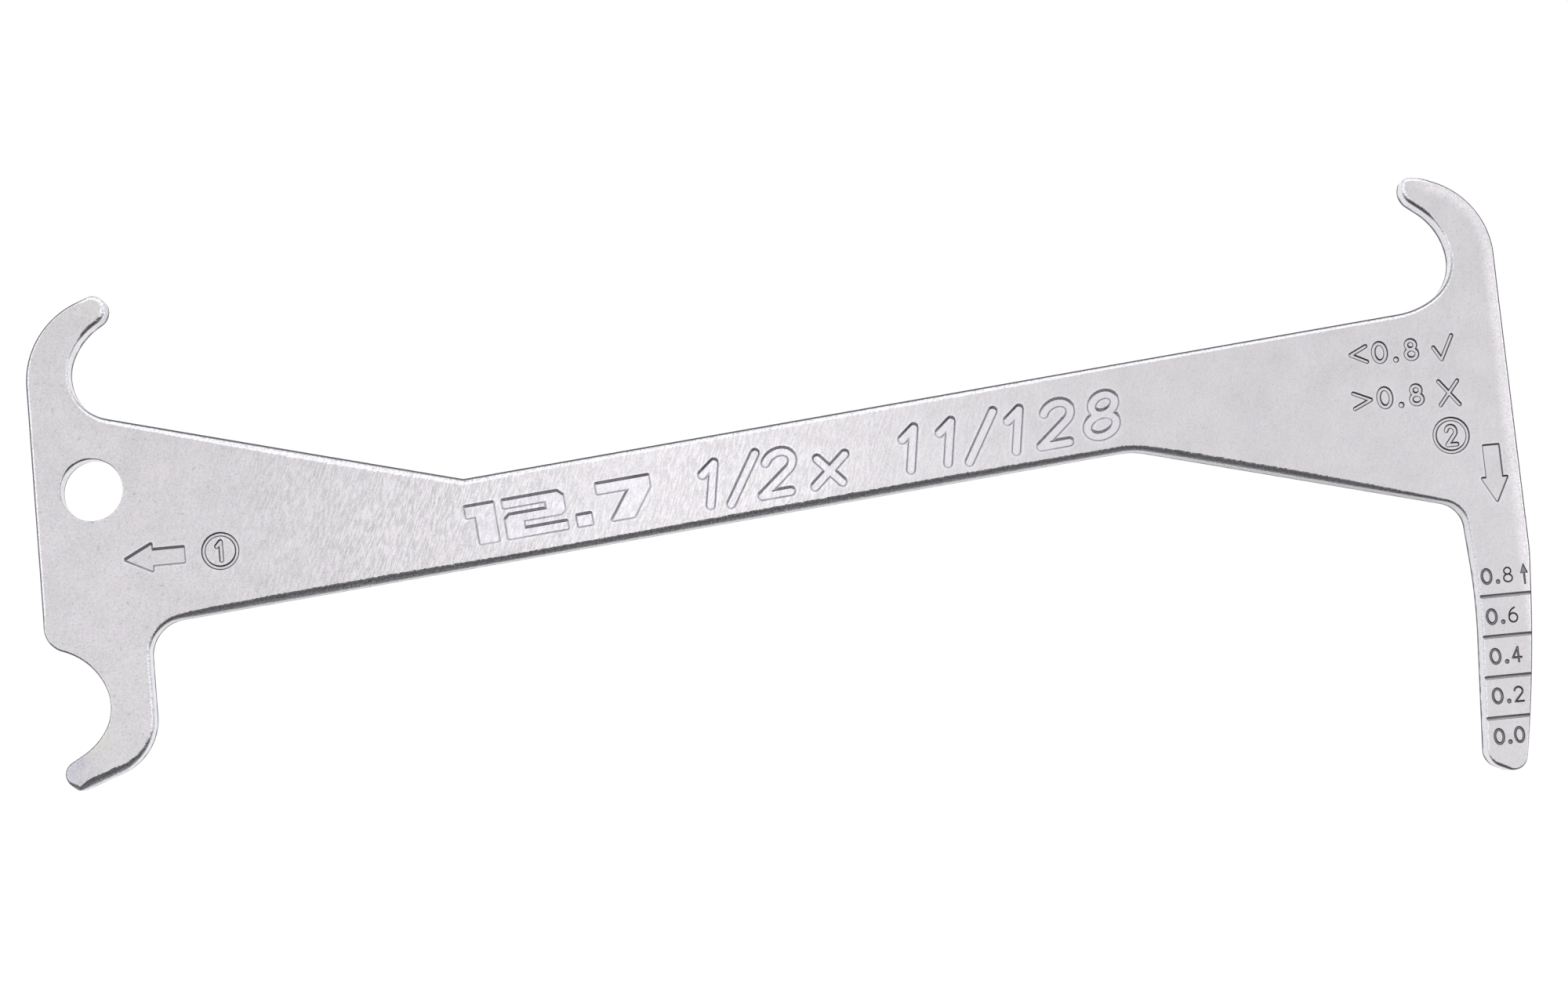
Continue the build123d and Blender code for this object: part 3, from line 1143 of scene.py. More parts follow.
class Nodes:
    """Short calls for the shader nodes that the finishes use."""

    def __init__(self, tree: bpy.types.NodeTree) -> None:
        """Keeps the node tree that nodes are added to."""
        self.tree = tree

    def add(self, kind: str, **values: object) -> bpy.types.Node:
        """Adds a node of a kind, and sets its properties.

        Args:
            kind: the node's type.
            values: its properties by name.

        Returns:
            The node.
        """
        node = self.tree.nodes.new(kind)
        for name, value in values.items():
            setattr(node, name, value)
        return node

    def link(self, value: object, socket: Socket) -> None:
        """Links a socket, or writes a number or colour.

        Args:
            value: a socket, a number or a colour.
            socket: the input that takes it.
        """
        if isinstance(value, Socket):
            self.tree.links.new(value, socket)
        else:
            socket.default_value = value

    def math(self, operation: str, a: object, b: object) -> Socket:
        """One Math node of two values.

        Args:
            operation: the node's operation.
            a: a socket or a number.
            b: a socket or a number.

        Returns:
            The result's socket.
        """
        node = self.add("ShaderNodeMath", operation=operation)
        self.link(a, node.inputs[0])
        self.link(b, node.inputs[1])
        return node.outputs[0]

    def plus(self, a: object, b: object) -> Socket:
        """The sum of two values."""
        return self.math("ADD", a, b)

    def less(self, a: object, b: object) -> Socket:
        """The first value less the second."""
        return self.math("SUBTRACT", a, b)

    def times(self, a: object, b: object) -> Socket:
        """The product of two values."""
        return self.math("MULTIPLY", a, b)

    def weighted(self, start: object, *terms: tuple[object, object]) -> Socket:
        """The start plus each term's value times its weight, added in order.

        Args:
            start: a socket or a number.
            terms: pairs of a value and its weight.

        Returns:
            The sum's socket.
        """
        for value, weight in terms:
            start = self.plus(start, self.times(value, weight))
        return start

    def at_least(self, floor: float, value: object) -> Socket:
        """A value from 0 to 1 squeezed into the range from the floor to 1."""
        return self.weighted(floor, (value, 1 - floor))

    def ramp(self, value: object, low: float, high: float) -> Socket:
        """A smooth step from 0 at low to 1 at high, which may lie below low.

        Args:
            value: a socket.
            low: the value at which the ramp is 0.
            high: the value at which it is 1.

        Returns:
            The ramp's socket.
        """
        node = self.add("ShaderNodeMapRange", interpolation_type="SMOOTHSTEP")
        turned_round = high < low
        self.link(value, node.inputs["Value"])
        node.inputs["From Min"].default_value = min(low, high)
        node.inputs["From Max"].default_value = max(low, high)
        node.inputs["To Min"].default_value = 1.0 if turned_round else 0.0
        node.inputs["To Max"].default_value = 0.0 if turned_round else 1.0
        return node.outputs["Result"]

    def noise(self, place: object, scale: float, detail: float) -> Socket:
        """Plain noise.

        Args:
            place: the coordinates.
            scale: noise cells a metre.
            detail: how many finer noises are added.

        Returns:
            The noise, about 0 to 1.
        """
        node = self.add("ShaderNodeTexNoise")
        self.link(place, node.inputs["Vector"])
        node.inputs["Scale"].default_value = scale
        node.inputs["Detail"].default_value = detail
        return node.outputs["Fac"]

    def hairs(self, place: object, angle: float, across: float, along: float) -> Socket:
        """Noise drawn out into hair lines.

        Args:
            place: the coordinates.
            angle: the lines' turn from the Y axis in degrees.
            across: noise cells per metre across the lines.
            along: noise cells per metre along them.

        Returns:
            The noise, about 0 to 1.
        """
        spin = self.add("ShaderNodeMapping", vector_type="POINT")
        self.link(place, spin.inputs["Vector"])
        spin.inputs["Rotation"].default_value = (0.0, 0.0, np.radians(angle))
        stretch = self.add("ShaderNodeMapping", vector_type="POINT")
        self.link(spin.outputs["Vector"], stretch.inputs["Vector"])
        stretch.inputs["Scale"].default_value = (across, along, along)
        return self.noise(stretch.outputs["Vector"], 1.0, detail=1.0)

    def pair(self, x: object, y: object) -> Socket:
        """A vector of x and y, with z at 0.

        Args:
            x: a socket or a number.
            y: a socket or a number.

        Returns:
            The vector's socket.
        """
        node = self.add("ShaderNodeCombineXYZ")
        self.link(x, node.inputs[0])
        self.link(y, node.inputs[1])
        return node.outputs[0]

    def away(self, vector: object, x: float, y: float) -> Socket:
        """Distance of a vector's x and y from a point in the plane.

        Args:
            vector: a vector's socket.
            x: the point's x.
            y: the point's y.

        Returns:
            The distance.
        """
        dx = self.less(self.part(vector, 0), x)
        dy = self.less(self.part(vector, 1), y)
        return self.math("SQRT", self.plus(self.times(dx, dx), self.times(dy, dy)), 0.0)

    def part(self, vector: object, axis: int) -> Socket:
        """One of a vector's three parts.

        Args:
            vector: a vector's socket.
            axis: 0, 1 or 2.

        Returns:
            The part's socket.
        """
        node = self.add("ShaderNodeSeparateXYZ")
        self.link(vector, node.inputs[0])
        return node.outputs[axis]

    def mix_color(self, factor: object, a: object, b: object) -> Socket:
        """A colour mix from a to b.

        Of the Mix node's sockets, 6, 7 and 2 are those of colours.

        Args:
            factor: the share of b.
            a: a socket or a colour.
            b: a socket or a colour.

        Returns:
            The mixed colour.
        """
        node = self.add("ShaderNodeMix", data_type="RGBA")
        self.link(factor, node.inputs["Factor"])
        for value, socket in ((a, node.inputs[6]), (b, node.inputs[7])):
            self.link(value if isinstance(value, Socket) else (*value, 1.0), socket)
        return node.outputs[2]

    def scale_color(self, color: object, by: object) -> Socket:
        """A colour times a value.

        Args:
            color: a socket or a colour.
            by: a socket or a number.

        Returns:
            The scaled colour.
        """
        node = self.add("ShaderNodeVectorMath", operation="SCALE")
        self.link(color, node.inputs[0])
        self.link(by, node.inputs["Scale"])
        return node.outputs[0]


@dataclass(frozen=True)
class Speckle:
    """One noise of the finish: the size of its cells in millimetres, and its detail."""

    size: float
    detail: float


@dataclass(frozen=True)
class Blotch:
    """A discoloured spot of the plating: its centre and reach in millimetres, and its colour."""

    x: float
    y: float
    reach: float
    shade: Color
    core: float = 0.2
    strength: float = 0.8


@dataclass(frozen=True)
class SatinSteel:
    """Satin nickel plate over stamped steel, finely scratched, darker where torn, where stains lie and
    where shade is painted, brighter where highlights are painted.

    A span gives the two values between which a ramp rises from 0 to 1: of a noise, or of x in
    metres where it lies along the bar. A floor is the least that a pattern leaves of another.
    A share says how much a pattern changes the brightness, a rough value how much it adds to
    the roughness, and a bump value how high it stands in the finest relief.
    """

    base_color: Color = (0.722, 0.697, 0.736)
    tint: Color = (0.727, 0.702, 0.722)
    # Dark colour of stains and fills, also used for painted shade
    stain_and_shade_tone: Color = (0.11, 0.11, 0.12)
    torn: Color = (0.33, 0.325, 0.34)
    # Colour of burnish on the walls, also used for the marks' painted highlights
    burnished: Color = (0.80, 0.79, 0.84)
    blotches: tuple[Blotch, ...] = (
        Blotch(1.1, 15.3, 1.9, (0.79, 0.79, 0.74)),
        Blotch(-2.7, -23.5, 2.8, (0.57, 0.555, 0.62)),
        Blotch(-0.7, -21.9, 1.5, (0.70, 0.69, 0.62)),
    )
    speckles: tuple[tuple[str, Speckle], ...] = (
        ("grain", Speckle(0.15, 3.0)), ("fine", Speckle(0.15 / 2.6, 2.0)),
        ("blotch", Speckle(2.6, 4.0)), ("patch", Speckle(9.0, 2.0)),
        ("stray", Speckle(0.7, 3.0)), ("pits", Speckle(0.42, 0.0)),
    )
    scratch_width: float = 0.125
    scratch_angle: float = 22.0
    scratch_length: float = 7.0
    cross_turn: float = 31.0
    cross_length: float = 18.0
    cross_share: float = 0.35
    hair_span: Span = (0.36, 0.66)
    cross_span: Span = (0.56, 0.74)
    hair_middle: float = 0.50
    bar_from: Span = (0.006, 0.024)
    bar_to: Span = (0.086, 0.052)
    patch_span: Span = (0.25, 0.7)
    patch_floor: float = 0.45
    unworked_floor: float = 0.13
    coarse_until: Span = (0.085, 0.050)
    coarse: float = 0.22
    rolled_grain: float = 1.3
    blotch_share: float = 0.16
    scratch_share: float = 0.27
    mottle_span: Span = (0.36, 0.64)
    mottle_floor: float = 0.45
    shoulder_share: float = 0.30
    dark_grain_span: Span = (0.40, 0.26)
    dark_grain_share: float = -0.10
    pit_span: Span = (0.74, 0.84)
    pit_share: float = -0.15
    bright: float = 0.985
    tint_span: Span = (0.35, 0.65)
    blotch_span: Span = (0.30, 0.62)
    rolled_shine: float = 0.85
    ragged: float = 0.9
    torn_span: Span = (0.42, 0.70)
    torn_onset: Span = (0.1, 0.3)
    speck_span: Span = (0.60, 0.74)
    worn_specks: float = 0.55
    right_bend: tuple[float, float] = (113.57, 9.2)
    shoulder_in: Span = (5.9, 6.8)
    shoulder_out: Span = (7.3, 6.9)
    shoulder_side: float = 3.0
    roughness: float = 0.20
    rough_blotch: float = 0.06
    rough_torn: float = 0.25
    rough_stain: float = 0.22
    bump_height: float = 0.0016
    bump_grain: float = 0.9
    bump_fine: float = 0.5
    bump_scratch: float = -0.8
    bump_rolled: float = 8.0
    bump_torn: float = 5.0
    bump_patch: float = 3.0

    def material(self) -> bpy.types.Material:
        """The finish as a node material on Object coordinates and the mesh's zones.

        Returns:
            The material.
        """
        m = bpy.data.materials.new("satin_steel")
        m.use_nodes = True
        n = Nodes(m.node_tree)
        shader = n.tree.nodes["Principled BSDF"]
        shader.inputs["Metallic"].default_value = 1.0
        place = n.add("ShaderNodeTexCoord").outputs["Object"]
        zones = {z: n.add("ShaderNodeAttribute", attribute_name=z.value).outputs["Fac"] for z in Zone}
        noise = {
            name: n.noise(place, 1 / (speckle.size * MM), speckle.detail)
            for name, speckle in self.speckles
        }
        x = n.part(place, 0)
        lines = self.scratches(n, place, x, noise)
        tone = self.tone(n, place, x, noise, zones, lines)
        torn, stained = self.wear(n, noise, zones)
        color = self.color(n, place, noise, tone)
        # Burnish, the marks' painted highlights and the rolled edges take the brighter burnish colour
        shiny = n.math("MAXIMUM", zones[Zone.BURNISHED], n.times(zones[Zone.ROLLED], self.rolled_shine))
        color = n.mix_color(shiny, color, n.scale_color(self.burnished, n.plus(tone, 1.0)))
        color = n.mix_color(torn, color, self.torn)
        # Stains, fills and painted shade darken the colour towards the dark colour
        n.link(n.mix_color(stained, color, self.stain_and_shade_tone), shader.inputs["Base Color"])
        rough = n.weighted(
            self.roughness, (n.less(noise["blotch"], 0.5), self.rough_blotch),
            (torn, self.rough_torn), (stained, self.rough_stain),
        )
        n.link(rough, shader.inputs["Roughness"])
        n.link(self.relief(n, noise, zones, lines, torn), shader.inputs["Normal"])
        return m

    def scratches(self, n: Nodes, place: object, x: object, noise: Sockets) -> Socket:
        """Hair lines in two directions, strongest and patchy on the bar.

        Args:
            n: the material's nodes.
            place: the coordinates.
            x: the coordinate along the bar.
            noise: the finish's noises by name.

        Returns:
            About -0.5 to 0.85 on the bar, and near 0 away from it.
        """
        across = 1 / (self.scratch_width * MM)
        hair = n.hairs(place, self.scratch_angle, across, across / self.scratch_length)
        turned_back = self.scratch_angle - self.cross_turn
        cross = n.hairs(place, turned_back, across, across / self.cross_length)
        middle = n.times(n.ramp(x, *self.bar_from), n.ramp(x, *self.bar_to))
        patchy = n.at_least(self.patch_floor, n.ramp(noise["patch"], *self.patch_span))
        worked = n.at_least(self.unworked_floor, n.times(middle, patchy))
        crossing = n.ramp(cross, *self.cross_span)
        both = n.weighted(n.ramp(hair, *self.hair_span), (crossing, self.cross_share))
        return n.times(n.less(both, self.hair_middle), worked)

    def tone(
        self, n: Nodes, place: object, x: object, noise: Sockets, zones: Zones, lines: object
    ) -> Socket:
        """How much brighter or darker than its plain colour the steel is, about 0.

        Args:
            n: the material's nodes.
            place: the coordinates.
            x: the coordinate along the bar.
            noise: the finish's noises by name.
            zones: the mesh's zones.
            lines: the hair lines.

        Returns:
            The sum of the patterns, each times its share.
        """
        grain = noise["grain"]
        coarse = n.weighted(self.coarse, (n.ramp(x, *self.coarse_until), self.coarse))
        texture = n.plus(coarse, n.times(zones[Zone.ROLLED], self.rolled_grain))
        mottled = n.at_least(self.mottle_floor, n.ramp(grain, *self.mottle_span))
        near_hole = n.ramp(x, *reversed(self.bar_from))
        return n.weighted(
            n.times(n.less(grain, 0.5), texture),
            (n.less(noise["blotch"], 0.5), self.blotch_share),
            (lines, self.scratch_share),
            (n.times(self.shoulder(n, place), mottled), self.shoulder_share),
            (n.ramp(grain, *self.dark_grain_span), self.dark_grain_share),
            (n.times(n.ramp(noise["pits"], *self.pit_span), near_hole), self.pit_share),
        )

    def shoulder(self, n: Nodes, place: object) -> Socket:
        """Bright band beside the right edge and round the upper right hook's back.

        It lies at a distance from the hook's centre, or below the hook at one of x alone.

        Args:
            n: the material's nodes.
            place: the coordinates.

        Returns:
            The band, 0 to 1.
        """
        cx, cy = self.right_bend
        down = n.math("MAXIMUM", n.part(place, 1), cy * MM)
        x = n.part(place, 0)
        far = n.away(n.pair(x, down), cx * MM, cy * MM)
        rise, fall = (n.ramp(far, a * MM, b * MM) for a, b in (self.shoulder_in, self.shoulder_out))
        return n.times(n.times(rise, fall), n.ramp(x, cx * MM, (cx + self.shoulder_side) * MM))

    def wear(self, n: Nodes, noise: Sockets, zones: Zones) -> tuple[Socket, Socket]:
        """Where the steel is torn, with a ragged border, and where stains and painted shade darken it,
        in specks.

        Args:
            n: the material's nodes.
            noise: the finish's noises by name.
            zones: the mesh's zones.

        Returns:
            How torn the steel is, and how much stains and painted shade darken it, 0 to 1.
        """
        rough_edge = n.weighted(zones[Zone.TORN], (n.less(noise["grain"], 0.5), self.ragged))
        onset = n.ramp(zones[Zone.TORN], *self.torn_onset)
        torn = n.times(n.ramp(rough_edge, *self.torn_span), onset)
        worn = n.times(n.ramp(noise["fine"], *self.speck_span), self.worn_specks)
        return torn, n.times(zones[Zone.STAINED], n.less(1.0, worn))

    def color(self, n: Nodes, place: object, noise: Sockets, tone: object) -> Socket:
        """The plating's colour on the face, with its blotches, times its brightness.

        Args:
            n: the material's nodes.
            place: the coordinates.
            noise: the finish's noises by name.
            tone: how much brighter it is.

        Returns:
            The colour.
        """
        tinted = n.ramp(noise["stray"], *self.tint_span)
        color = n.mix_color(tinted, self.base_color, self.tint)
        for spot in self.blotches:
            reach = spot.reach * MM
            near = n.ramp(n.away(place, spot.x * MM, spot.y * MM), reach, spot.core * spot.reach * MM)
            near = n.times(near, n.ramp(noise["blotch"], *self.blotch_span))
            color = n.mix_color(n.times(near, spot.strength), color, spot.shade)
        return n.scale_color(color, n.plus(tone, self.bright))

    def relief(
        self, n: Nodes, noise: Sockets, zones: Zones, lines: object, torn: object
    ) -> Socket:
        """The normal of the finest relief: grain, scratches and long waves, deepest where torn.

        Args:
            n: the material's nodes.
            noise: the finish's noises by name.
            zones: the mesh's zones.
            lines: the hair lines.
            torn: how torn the steel is.

        Returns:
            The normal.
        """
        grain = n.times(noise["grain"], self.bump_grain)
        height = n.weighted(grain, (noise["fine"], self.bump_fine), (lines, self.bump_scratch))
        rougher = n.weighted(n.times(zones[Zone.ROLLED], self.bump_rolled), (torn, self.bump_torn))
        height = n.times(height, n.plus(1.0, rougher))
        height = n.weighted(height, (noise["patch"], self.bump_patch))
        bump = n.add("ShaderNodeBump")
        bump.inputs["Strength"].default_value = 1.0
        bump.inputs["Distance"].default_value = self.bump_height * MM
        n.link(height, bump.inputs["Height"])
        return bump.outputs["Normal"]


# Plate


def triangulate(
    border: Array, bore: Array, loops: list[Array], seeds: Array
) -> tuple[Array, Array, Array]:
    """Constrained triangulation of a face with a hole.

    Args:
        border: the outer loop, clockwise.
        bore: the hole's loop.
        loops: lines to keep as edges, closed unless they have two points.
        seeds: further points to take in.

    Returns:
        The points, the triangles as rows of their numbers, and for each point the first of the
        given points that it stands for, or -1.
    """
    known = len(border) + len(bore)
    edges, at = [], known
    for loop in loops:
        ids = np.arange(at, at + len(loop))
        edges.append(np.c_[ids, np.roll(ids, -1)] if len(loop) > 2 else ids[None])
        at += len(loop)
    points = np.vstack([border, bore, *loops, seeds]).tolist()
    links = np.vstack(edges).tolist() if edges else []
    rings = [list(range(len(border)))[::-1], list(range(len(border), known))]
    keep_rings, near = 0, 2e-5
    xy, _, corners, sources, _, within = delaunay_2d_cdt(points, links, rings, keep_rings, near, True)
    inside = np.array([0 in ids and 1 not in ids for ids in within])
    faces = np.array([list(corner) for corner in corners])[inside]
    first = np.array([min(ids) if ids else -1 for ids in sources])
    return np.array([tuple(v) for v in xy]), faces, first


@dataclass(frozen=True)
class Stations:
    """Where the edge's section stands, one row of each array a station.

    Point lies on the outline, normal points inwards, and inner lies on the roll's inner border.
    Dark is how dark the painted shade line at the roll's foot is there, and the last how much shade is
    painted on the wall.
    """

    point: Array
    normal: Array
    inner: Array
    dark: Array
    wall_shade: Array


@dataclass
class GaugePlate:
    """The gauge itself: one closed mesh with its edges, hole and marks.

    Each row of roll is a distance along the outline from its start, the width of the rolled
    edge there and how dark the painted shade line at its foot is. Each row of the wall shade
    table is such a distance and how much shade is painted on the wall. Angles are degrees. The
    probe starts at probe_left and probe_top, its lines lie above lines_end, and probe_middle
    parts its two sides. Within dense_reach of a line the edge has dense_points stations. The
    roll's width wanders, and that dies away on the probe, from steady_from over steady_over.
    The punch pressed hardest into the hole's rim at pressed_at, evenly over pressed_half to
    each side, and this fades over pressed_fade. The lattice is the step of the points inside
    the two faces.
    """

    outline: Outline = field(default_factory=Outline)
    marks: Marks = field(default_factory=Marks)
    finish: SatinSteel = field(default_factory=SatinSteel)
    thickness: float = 2.0
    outer: EdgeProfile = EdgeProfile(
        thickness, steepness=0.76, burnished_to=0.58, draw_in=0.025, back_break=0.08
    )
    bore: EdgeProfile = EdgeProfile(
        thickness, steepness=0.76, burnished_to=0.50, draw_in=0.08, back_break=0.0
    )
    # The third column is the painted shade of the line at the roll's foot
    roll: tuple[tuple[float, float, float], ...] = (
        (0, 0.14, 0.4), (1.6, 0.15, 0.4), (2.4, 0.24, 0.7), (3.2, 0.26, 0.8), (4, 0.17, 0.2),
        (6, 0.16, 0.2), (22, 0.16, 0.3), (27, 0.24, 0.5), (30, 0.32, 0.5), (34, 0.42, 0.5),
        (40, 0.52, 0.4), (50, 0.56, 0.35), (53.4, 0.45, 0.4), (57, 0.48, 0.5), (70, 0.56, 0.5),
        (86, 0.55, 0.6), (97, 0.49, 0.65), (108, 0.46, 0.7), (117, 0.58, 0.7), (127, 0.60, 0.6),
        (133, 0.52, 0.6), (135, 0.46, 0.5), (136.5, 0.34, 0.4), (138.2, 0.24, 0.5),
        (140, 0.24, 0.3), (147, 0.28, 0.3), (149, 0.38, 0.4), (151, 0.56, 0.4),
        (154.4, 0.62, 0.5), (155.2, 0.32, 0.7), (156.5, 0.19, 0.8), (160, 0.16, 0.9),
        (164, 0.16, 0.7), (172.9, 0.18, 0.7), (174, 0.30, 0.9), (193, 0.30, 1), (202, 0.20, 1),
        (203.4, 0.38, 0.3), (206.2, 0.44, 0), (207.2, 0.32, 0.8), (208.6, 0.28, 0.7),
        (209.5, 0.14, 0.1), (213.5, 0.20, 0.2), (217.7, 0.44, 1), (226, 0.56, 1),
        (236, 0.68, 1), (248, 0.60, 1), (252, 0.53, 1), (276, 0.52, 1), (290, 0.49, 1),
        (303, 0.41, 1), (329, 0.40, 1), (335, 0.26, 0.7), (338, 0.15, 0.1), (340, 0.14, 0.1),
        (341, 0.28, 0.8), (343.2, 0.30, 0.8), (344.2, 0.32, 0.1), (346.3, 0.36, 0.2),
        (347.4, 0.24, 1), (348.6, 0.18, 1), (356, 0.18, 1), (360, 0.24, 1), (385, 0.22, 1),
        (397, 0.18, 0.8), (399.7, 0.14, 0.4),
    )
    # Painted shade on the walls along the outline, by distance
    wall_shade_table: tuple[tuple[float, float], ...] = (
        (0, 0.05), (5, 0.10), (22, 0.14), (25, 0.24), (28, 0.56), (48, 0.56), (54, 0.34),
        (135, 0.34), (139, 0.06), (152, 0.05), (202, 0), (203.5, 0.34), (206.2, 0.30),
        (208, 0.08), (336, 0), (338, 0.12), (342.5, 0.14), (344, 0.04), (399, 0.05),
    )
    probe_left: float = 112.0
    probe_top: float = -17.0
    lines_end: float = -33.0
    probe_middle: float = 117.2
    dense_reach: float = 0.34
    dense_points: int = 15
    station_gap: float = 0.012
    least_gap: float = 1e-4
    width_waves: tuple[Wander, Wander] = (Wander(0.5, 11, 0.07), Wander(2.6, 12, 0.03))
    steady_from: tuple[float, float] = (112.0, -14.5)
    steady_over: tuple[float, float] = (1.0, 3.0)
    tight_corner: float = 3.0
    corner_share: float = 0.74
    corner_growth: float = 0.30
    tear_wave: Wander = Wander(1.7, 23, 0.08)
    torn_waves: tuple[Wander, Wander] = (Wander(0.55, 21), Wander(3.0, 22))
    torn_relief: float = 0.012
    hole_radius: float = 2.625
    hole_sides: int = 144
    hole_roll_width: tuple[float, float] = (0.10, 0.17)
    # Painted shade of the line round the hole's rim, and of the hole's wall
    hole_line_shade: tuple[float, float] = (0.5, 0.75)
    hole_wall_shade: float = 0.12
    pressed_at: float = 117.0
    pressed_half: float = 14.0
    pressed_fade: float = 24.0
    ripple: float = 0.10
    ripples: int = 9
    back_ring: float = 0.06
    lattice: float = 1.15
    lattice_row: float = 0.87
    hole_clear: float = 0.9
    border_clear: float = 0.45

    def on_probe(self, xy: Array) -> Array:
        """Which points lie on the probe, from above its first line downwards."""
        return (xy[:, 0] > self.probe_left) & (xy[:, 1] < self.probe_top)

    def lined_sides(self, xy: Array) -> tuple[Array, Array]:
        """Numbers of a loop's points on the left and the right side of the probe's lines.

        Args:
            xy: the loop's points.

        Returns:
            The numbers on the left, then those on the right.
        """
        lined = self.on_probe(xy) & (xy[:, 1] > self.lines_end)
        left, right = xy[:, 0] < self.probe_middle, xy[:, 0] > self.probe_middle
        return np.flatnonzero(lined & left), np.flatnonzero(lined & right)

    def stations(self) -> Stations:
        """Stations round the outline for the edge's section.

        Extra stations stand where a line across the probe meets the roll's inner border, so
        that the face and the edge share their points there, and close together round it. Any
        other station that would stand too near to one of those is left out.

        Returns:
            The stations.
        """
        loop, bend = self.outline.loop()
        s = run_along(np.vstack([loop, loop[:1]]))
        tangent = np.roll(loop, -1, 0) - np.roll(loop, 1, 0)
        tangent /= np.linalg.norm(tangent, axis=1)[:, None]
        inward = -left_of(tangent)
        inner = loop + inward * self.widths(loop, bend, s[:-1], s[-1])[:, None]
        reach = np.linspace(-self.dense_reach, self.dense_reach, self.dense_points)
        around = np.concatenate([y + reach for y in self.marks.levels])
        exact, dense = [], []
        for side in self.lined_sides(loop):
            order = side[np.argsort(inner[side, 1])]
            for levels, found in ((self.marks.line_levels(), exact), (around, dense)):
                found.append(np.interp(levels, inner[order, 1], s[:-1][order]))
        exact = np.concatenate(exact)
        at = np.concatenate([s[:-1], *dense])
        clash = np.abs(at[:, None] - exact[None]).min(1) < self.station_gap
        at = np.unique(np.concatenate([at[~clash], exact]))
        at = at[np.concatenate([[True], np.diff(at) > self.least_gap])]

        def there(values: Array) -> Array:
            """A vector of the loop at the stations."""
            closed = np.vstack([values, values[:1]])
            return np.c_[np.interp(at, s, closed[:, 0]), np.interp(at, s, closed[:, 1])]

        normal = there(inward)
        normal /= np.linalg.norm(normal, axis=1)[:, None]
        # Painted shade of the roll's foot line and of the wall at each station
        place, _, dark = np.array(self.roll).T
        wall_shade = np.interp(at, *np.array(self.wall_shade_table).T)
        return Stations(there(loop), normal, there(inner), np.interp(at, place, dark), wall_shade)

    def widths(self, loop: Array, bend: Array, s: Array, length: float) -> Array:
        """Width of the rolled edge along the outline.

        It runs between the widths listed by position, it wanders a little, but not along the
        probe, and at a convex corner it is held under a share of the corner's radius, from
        which it grows again at a fixed rate.

        Args:
            loop: the outline's points.
            bend: the radius of a convex arc at each, or infinity.
            s: the position of each along the outline.
            length: the outline's whole length.

        Returns:
            One width a point.
        """
        place, listed, _ = np.array(self.roll).T
        width = np.interp(s, place, listed)
        (left, top), (over_x, over_y) = self.steady_from, self.steady_over
        steady = smooth((loop[:, 0] - left) / over_x) * smooth((top - loop[:, 1]) / over_y)
        width *= 1 + sum(wave.at(s) for wave in self.width_waves) * (1 - steady)
        tight = np.flatnonzero(bend < self.tight_corner)
        gap = np.abs(s[:, None] - s[tight][None])
        gap = np.minimum(gap, length - gap)
        held = self.corner_share * bend[tight][None] + self.corner_growth * gap
        return np.minimum(width, held.min(1))

    def edge_band(self, surface: Surface) -> tuple[Array, Array]:
        """Adds the rolled and punched edge round the outline.

        The section is carried along the outline: a point lies at its inset along the inward
        normal and at its height, and the lines across the probe cut into the roll. The torn
        zone's relief is the product of a wave along the edge and one down the section.

        Args:
            surface: the mesh in the making.

        Returns:
            The point numbers of the inner border on the front face and of the back border.
        """
        at = self.stations()
        width = ((at.inner - at.point) * at.normal).sum(1)
        s = run_along(at.point)
        inset, top = self.outer.section(width, self.outer.burnished_to + self.tear_wave.at(s))
        zones = self.outer.zones(inset, at.dark, at.wall_shade)
        along, down = self.torn_waves
        rough = along.at(s)[:, None] * down.at(np.arange(inset.shape[1]))[None]
        inset = inset + self.torn_relief * np.abs(rough) * zones["torn"]
        xy = at.point[:, None] + at.normal[:, None] * inset[..., None]
        xy[:, 0] = at.inner
        probe = self.on_probe(at.point)[:, None]
        fall, _, stain_and_shade_tone = self.marks.line_drop(xy[..., 1].ravel())
        floor = self.thickness - fall.reshape(top.shape) * probe
        cut = floor < top
        top = np.where(cut, floor, top)
        grid = np.dstack([xy, top])
        zones["stained"] = np.maximum(stain_and_shade_tone.reshape(top.shape) * probe * cut, zones["stained"])
        numbers = self.add_grid(surface, grid, zones)
        back_xy = at.point + at.normal * self.outer.back_break
        back = surface.add_points(np.c_[back_xy, np.zeros(len(back_xy))])
        slant = np.c_[-at.normal, -np.ones(len(at.normal))] / np.sqrt(2)
        self.join(surface, np.c_[numbers[:, -1], back], np.stack([slant, slant], axis=1))
        return numbers[:, 0], back

    def add_grid(self, surface: Surface, grid: Array, zones: dict[str, Array]) -> Array:
        """Adds a closed grid of points with its zones and its quads.

        Args:
            surface: the mesh in the making.
            grid: points, stations first and section second.
            zones: the zones' shares over the grid, by name.

        Returns:
            The point numbers over the grid.
        """
        shares = {name: share.ravel() for name, share in zones.items()}
        numbers = surface.add_points(grid.reshape(-1, 3), **shares).reshape(grid.shape[:2])
        self.join(surface, numbers, grid_normals(grid))
        return numbers

    def join(self, surface: Surface, numbers: Array, normals: Array) -> None:
        """Joins a closed grid of points by quads.

        Args:
            surface: the mesh in the making.
            numbers: point numbers, stations first and section second.
            normals: one unit normal for each.
        """
        after = np.roll(numbers, -1, 0)
        faces = np.stack([numbers[:, :-1], after[:, :-1], after[:, 1:], numbers[:, 1:]], axis=-1)
        turn = np.roll(normals, -1, 0)
        corner = np.stack([normals[:, :-1], turn[:, :-1], turn[:, 1:], normals[:, 1:]], axis=2)
        surface.add_faces(faces.reshape(-1, 4), corner.reshape(-1, 3))

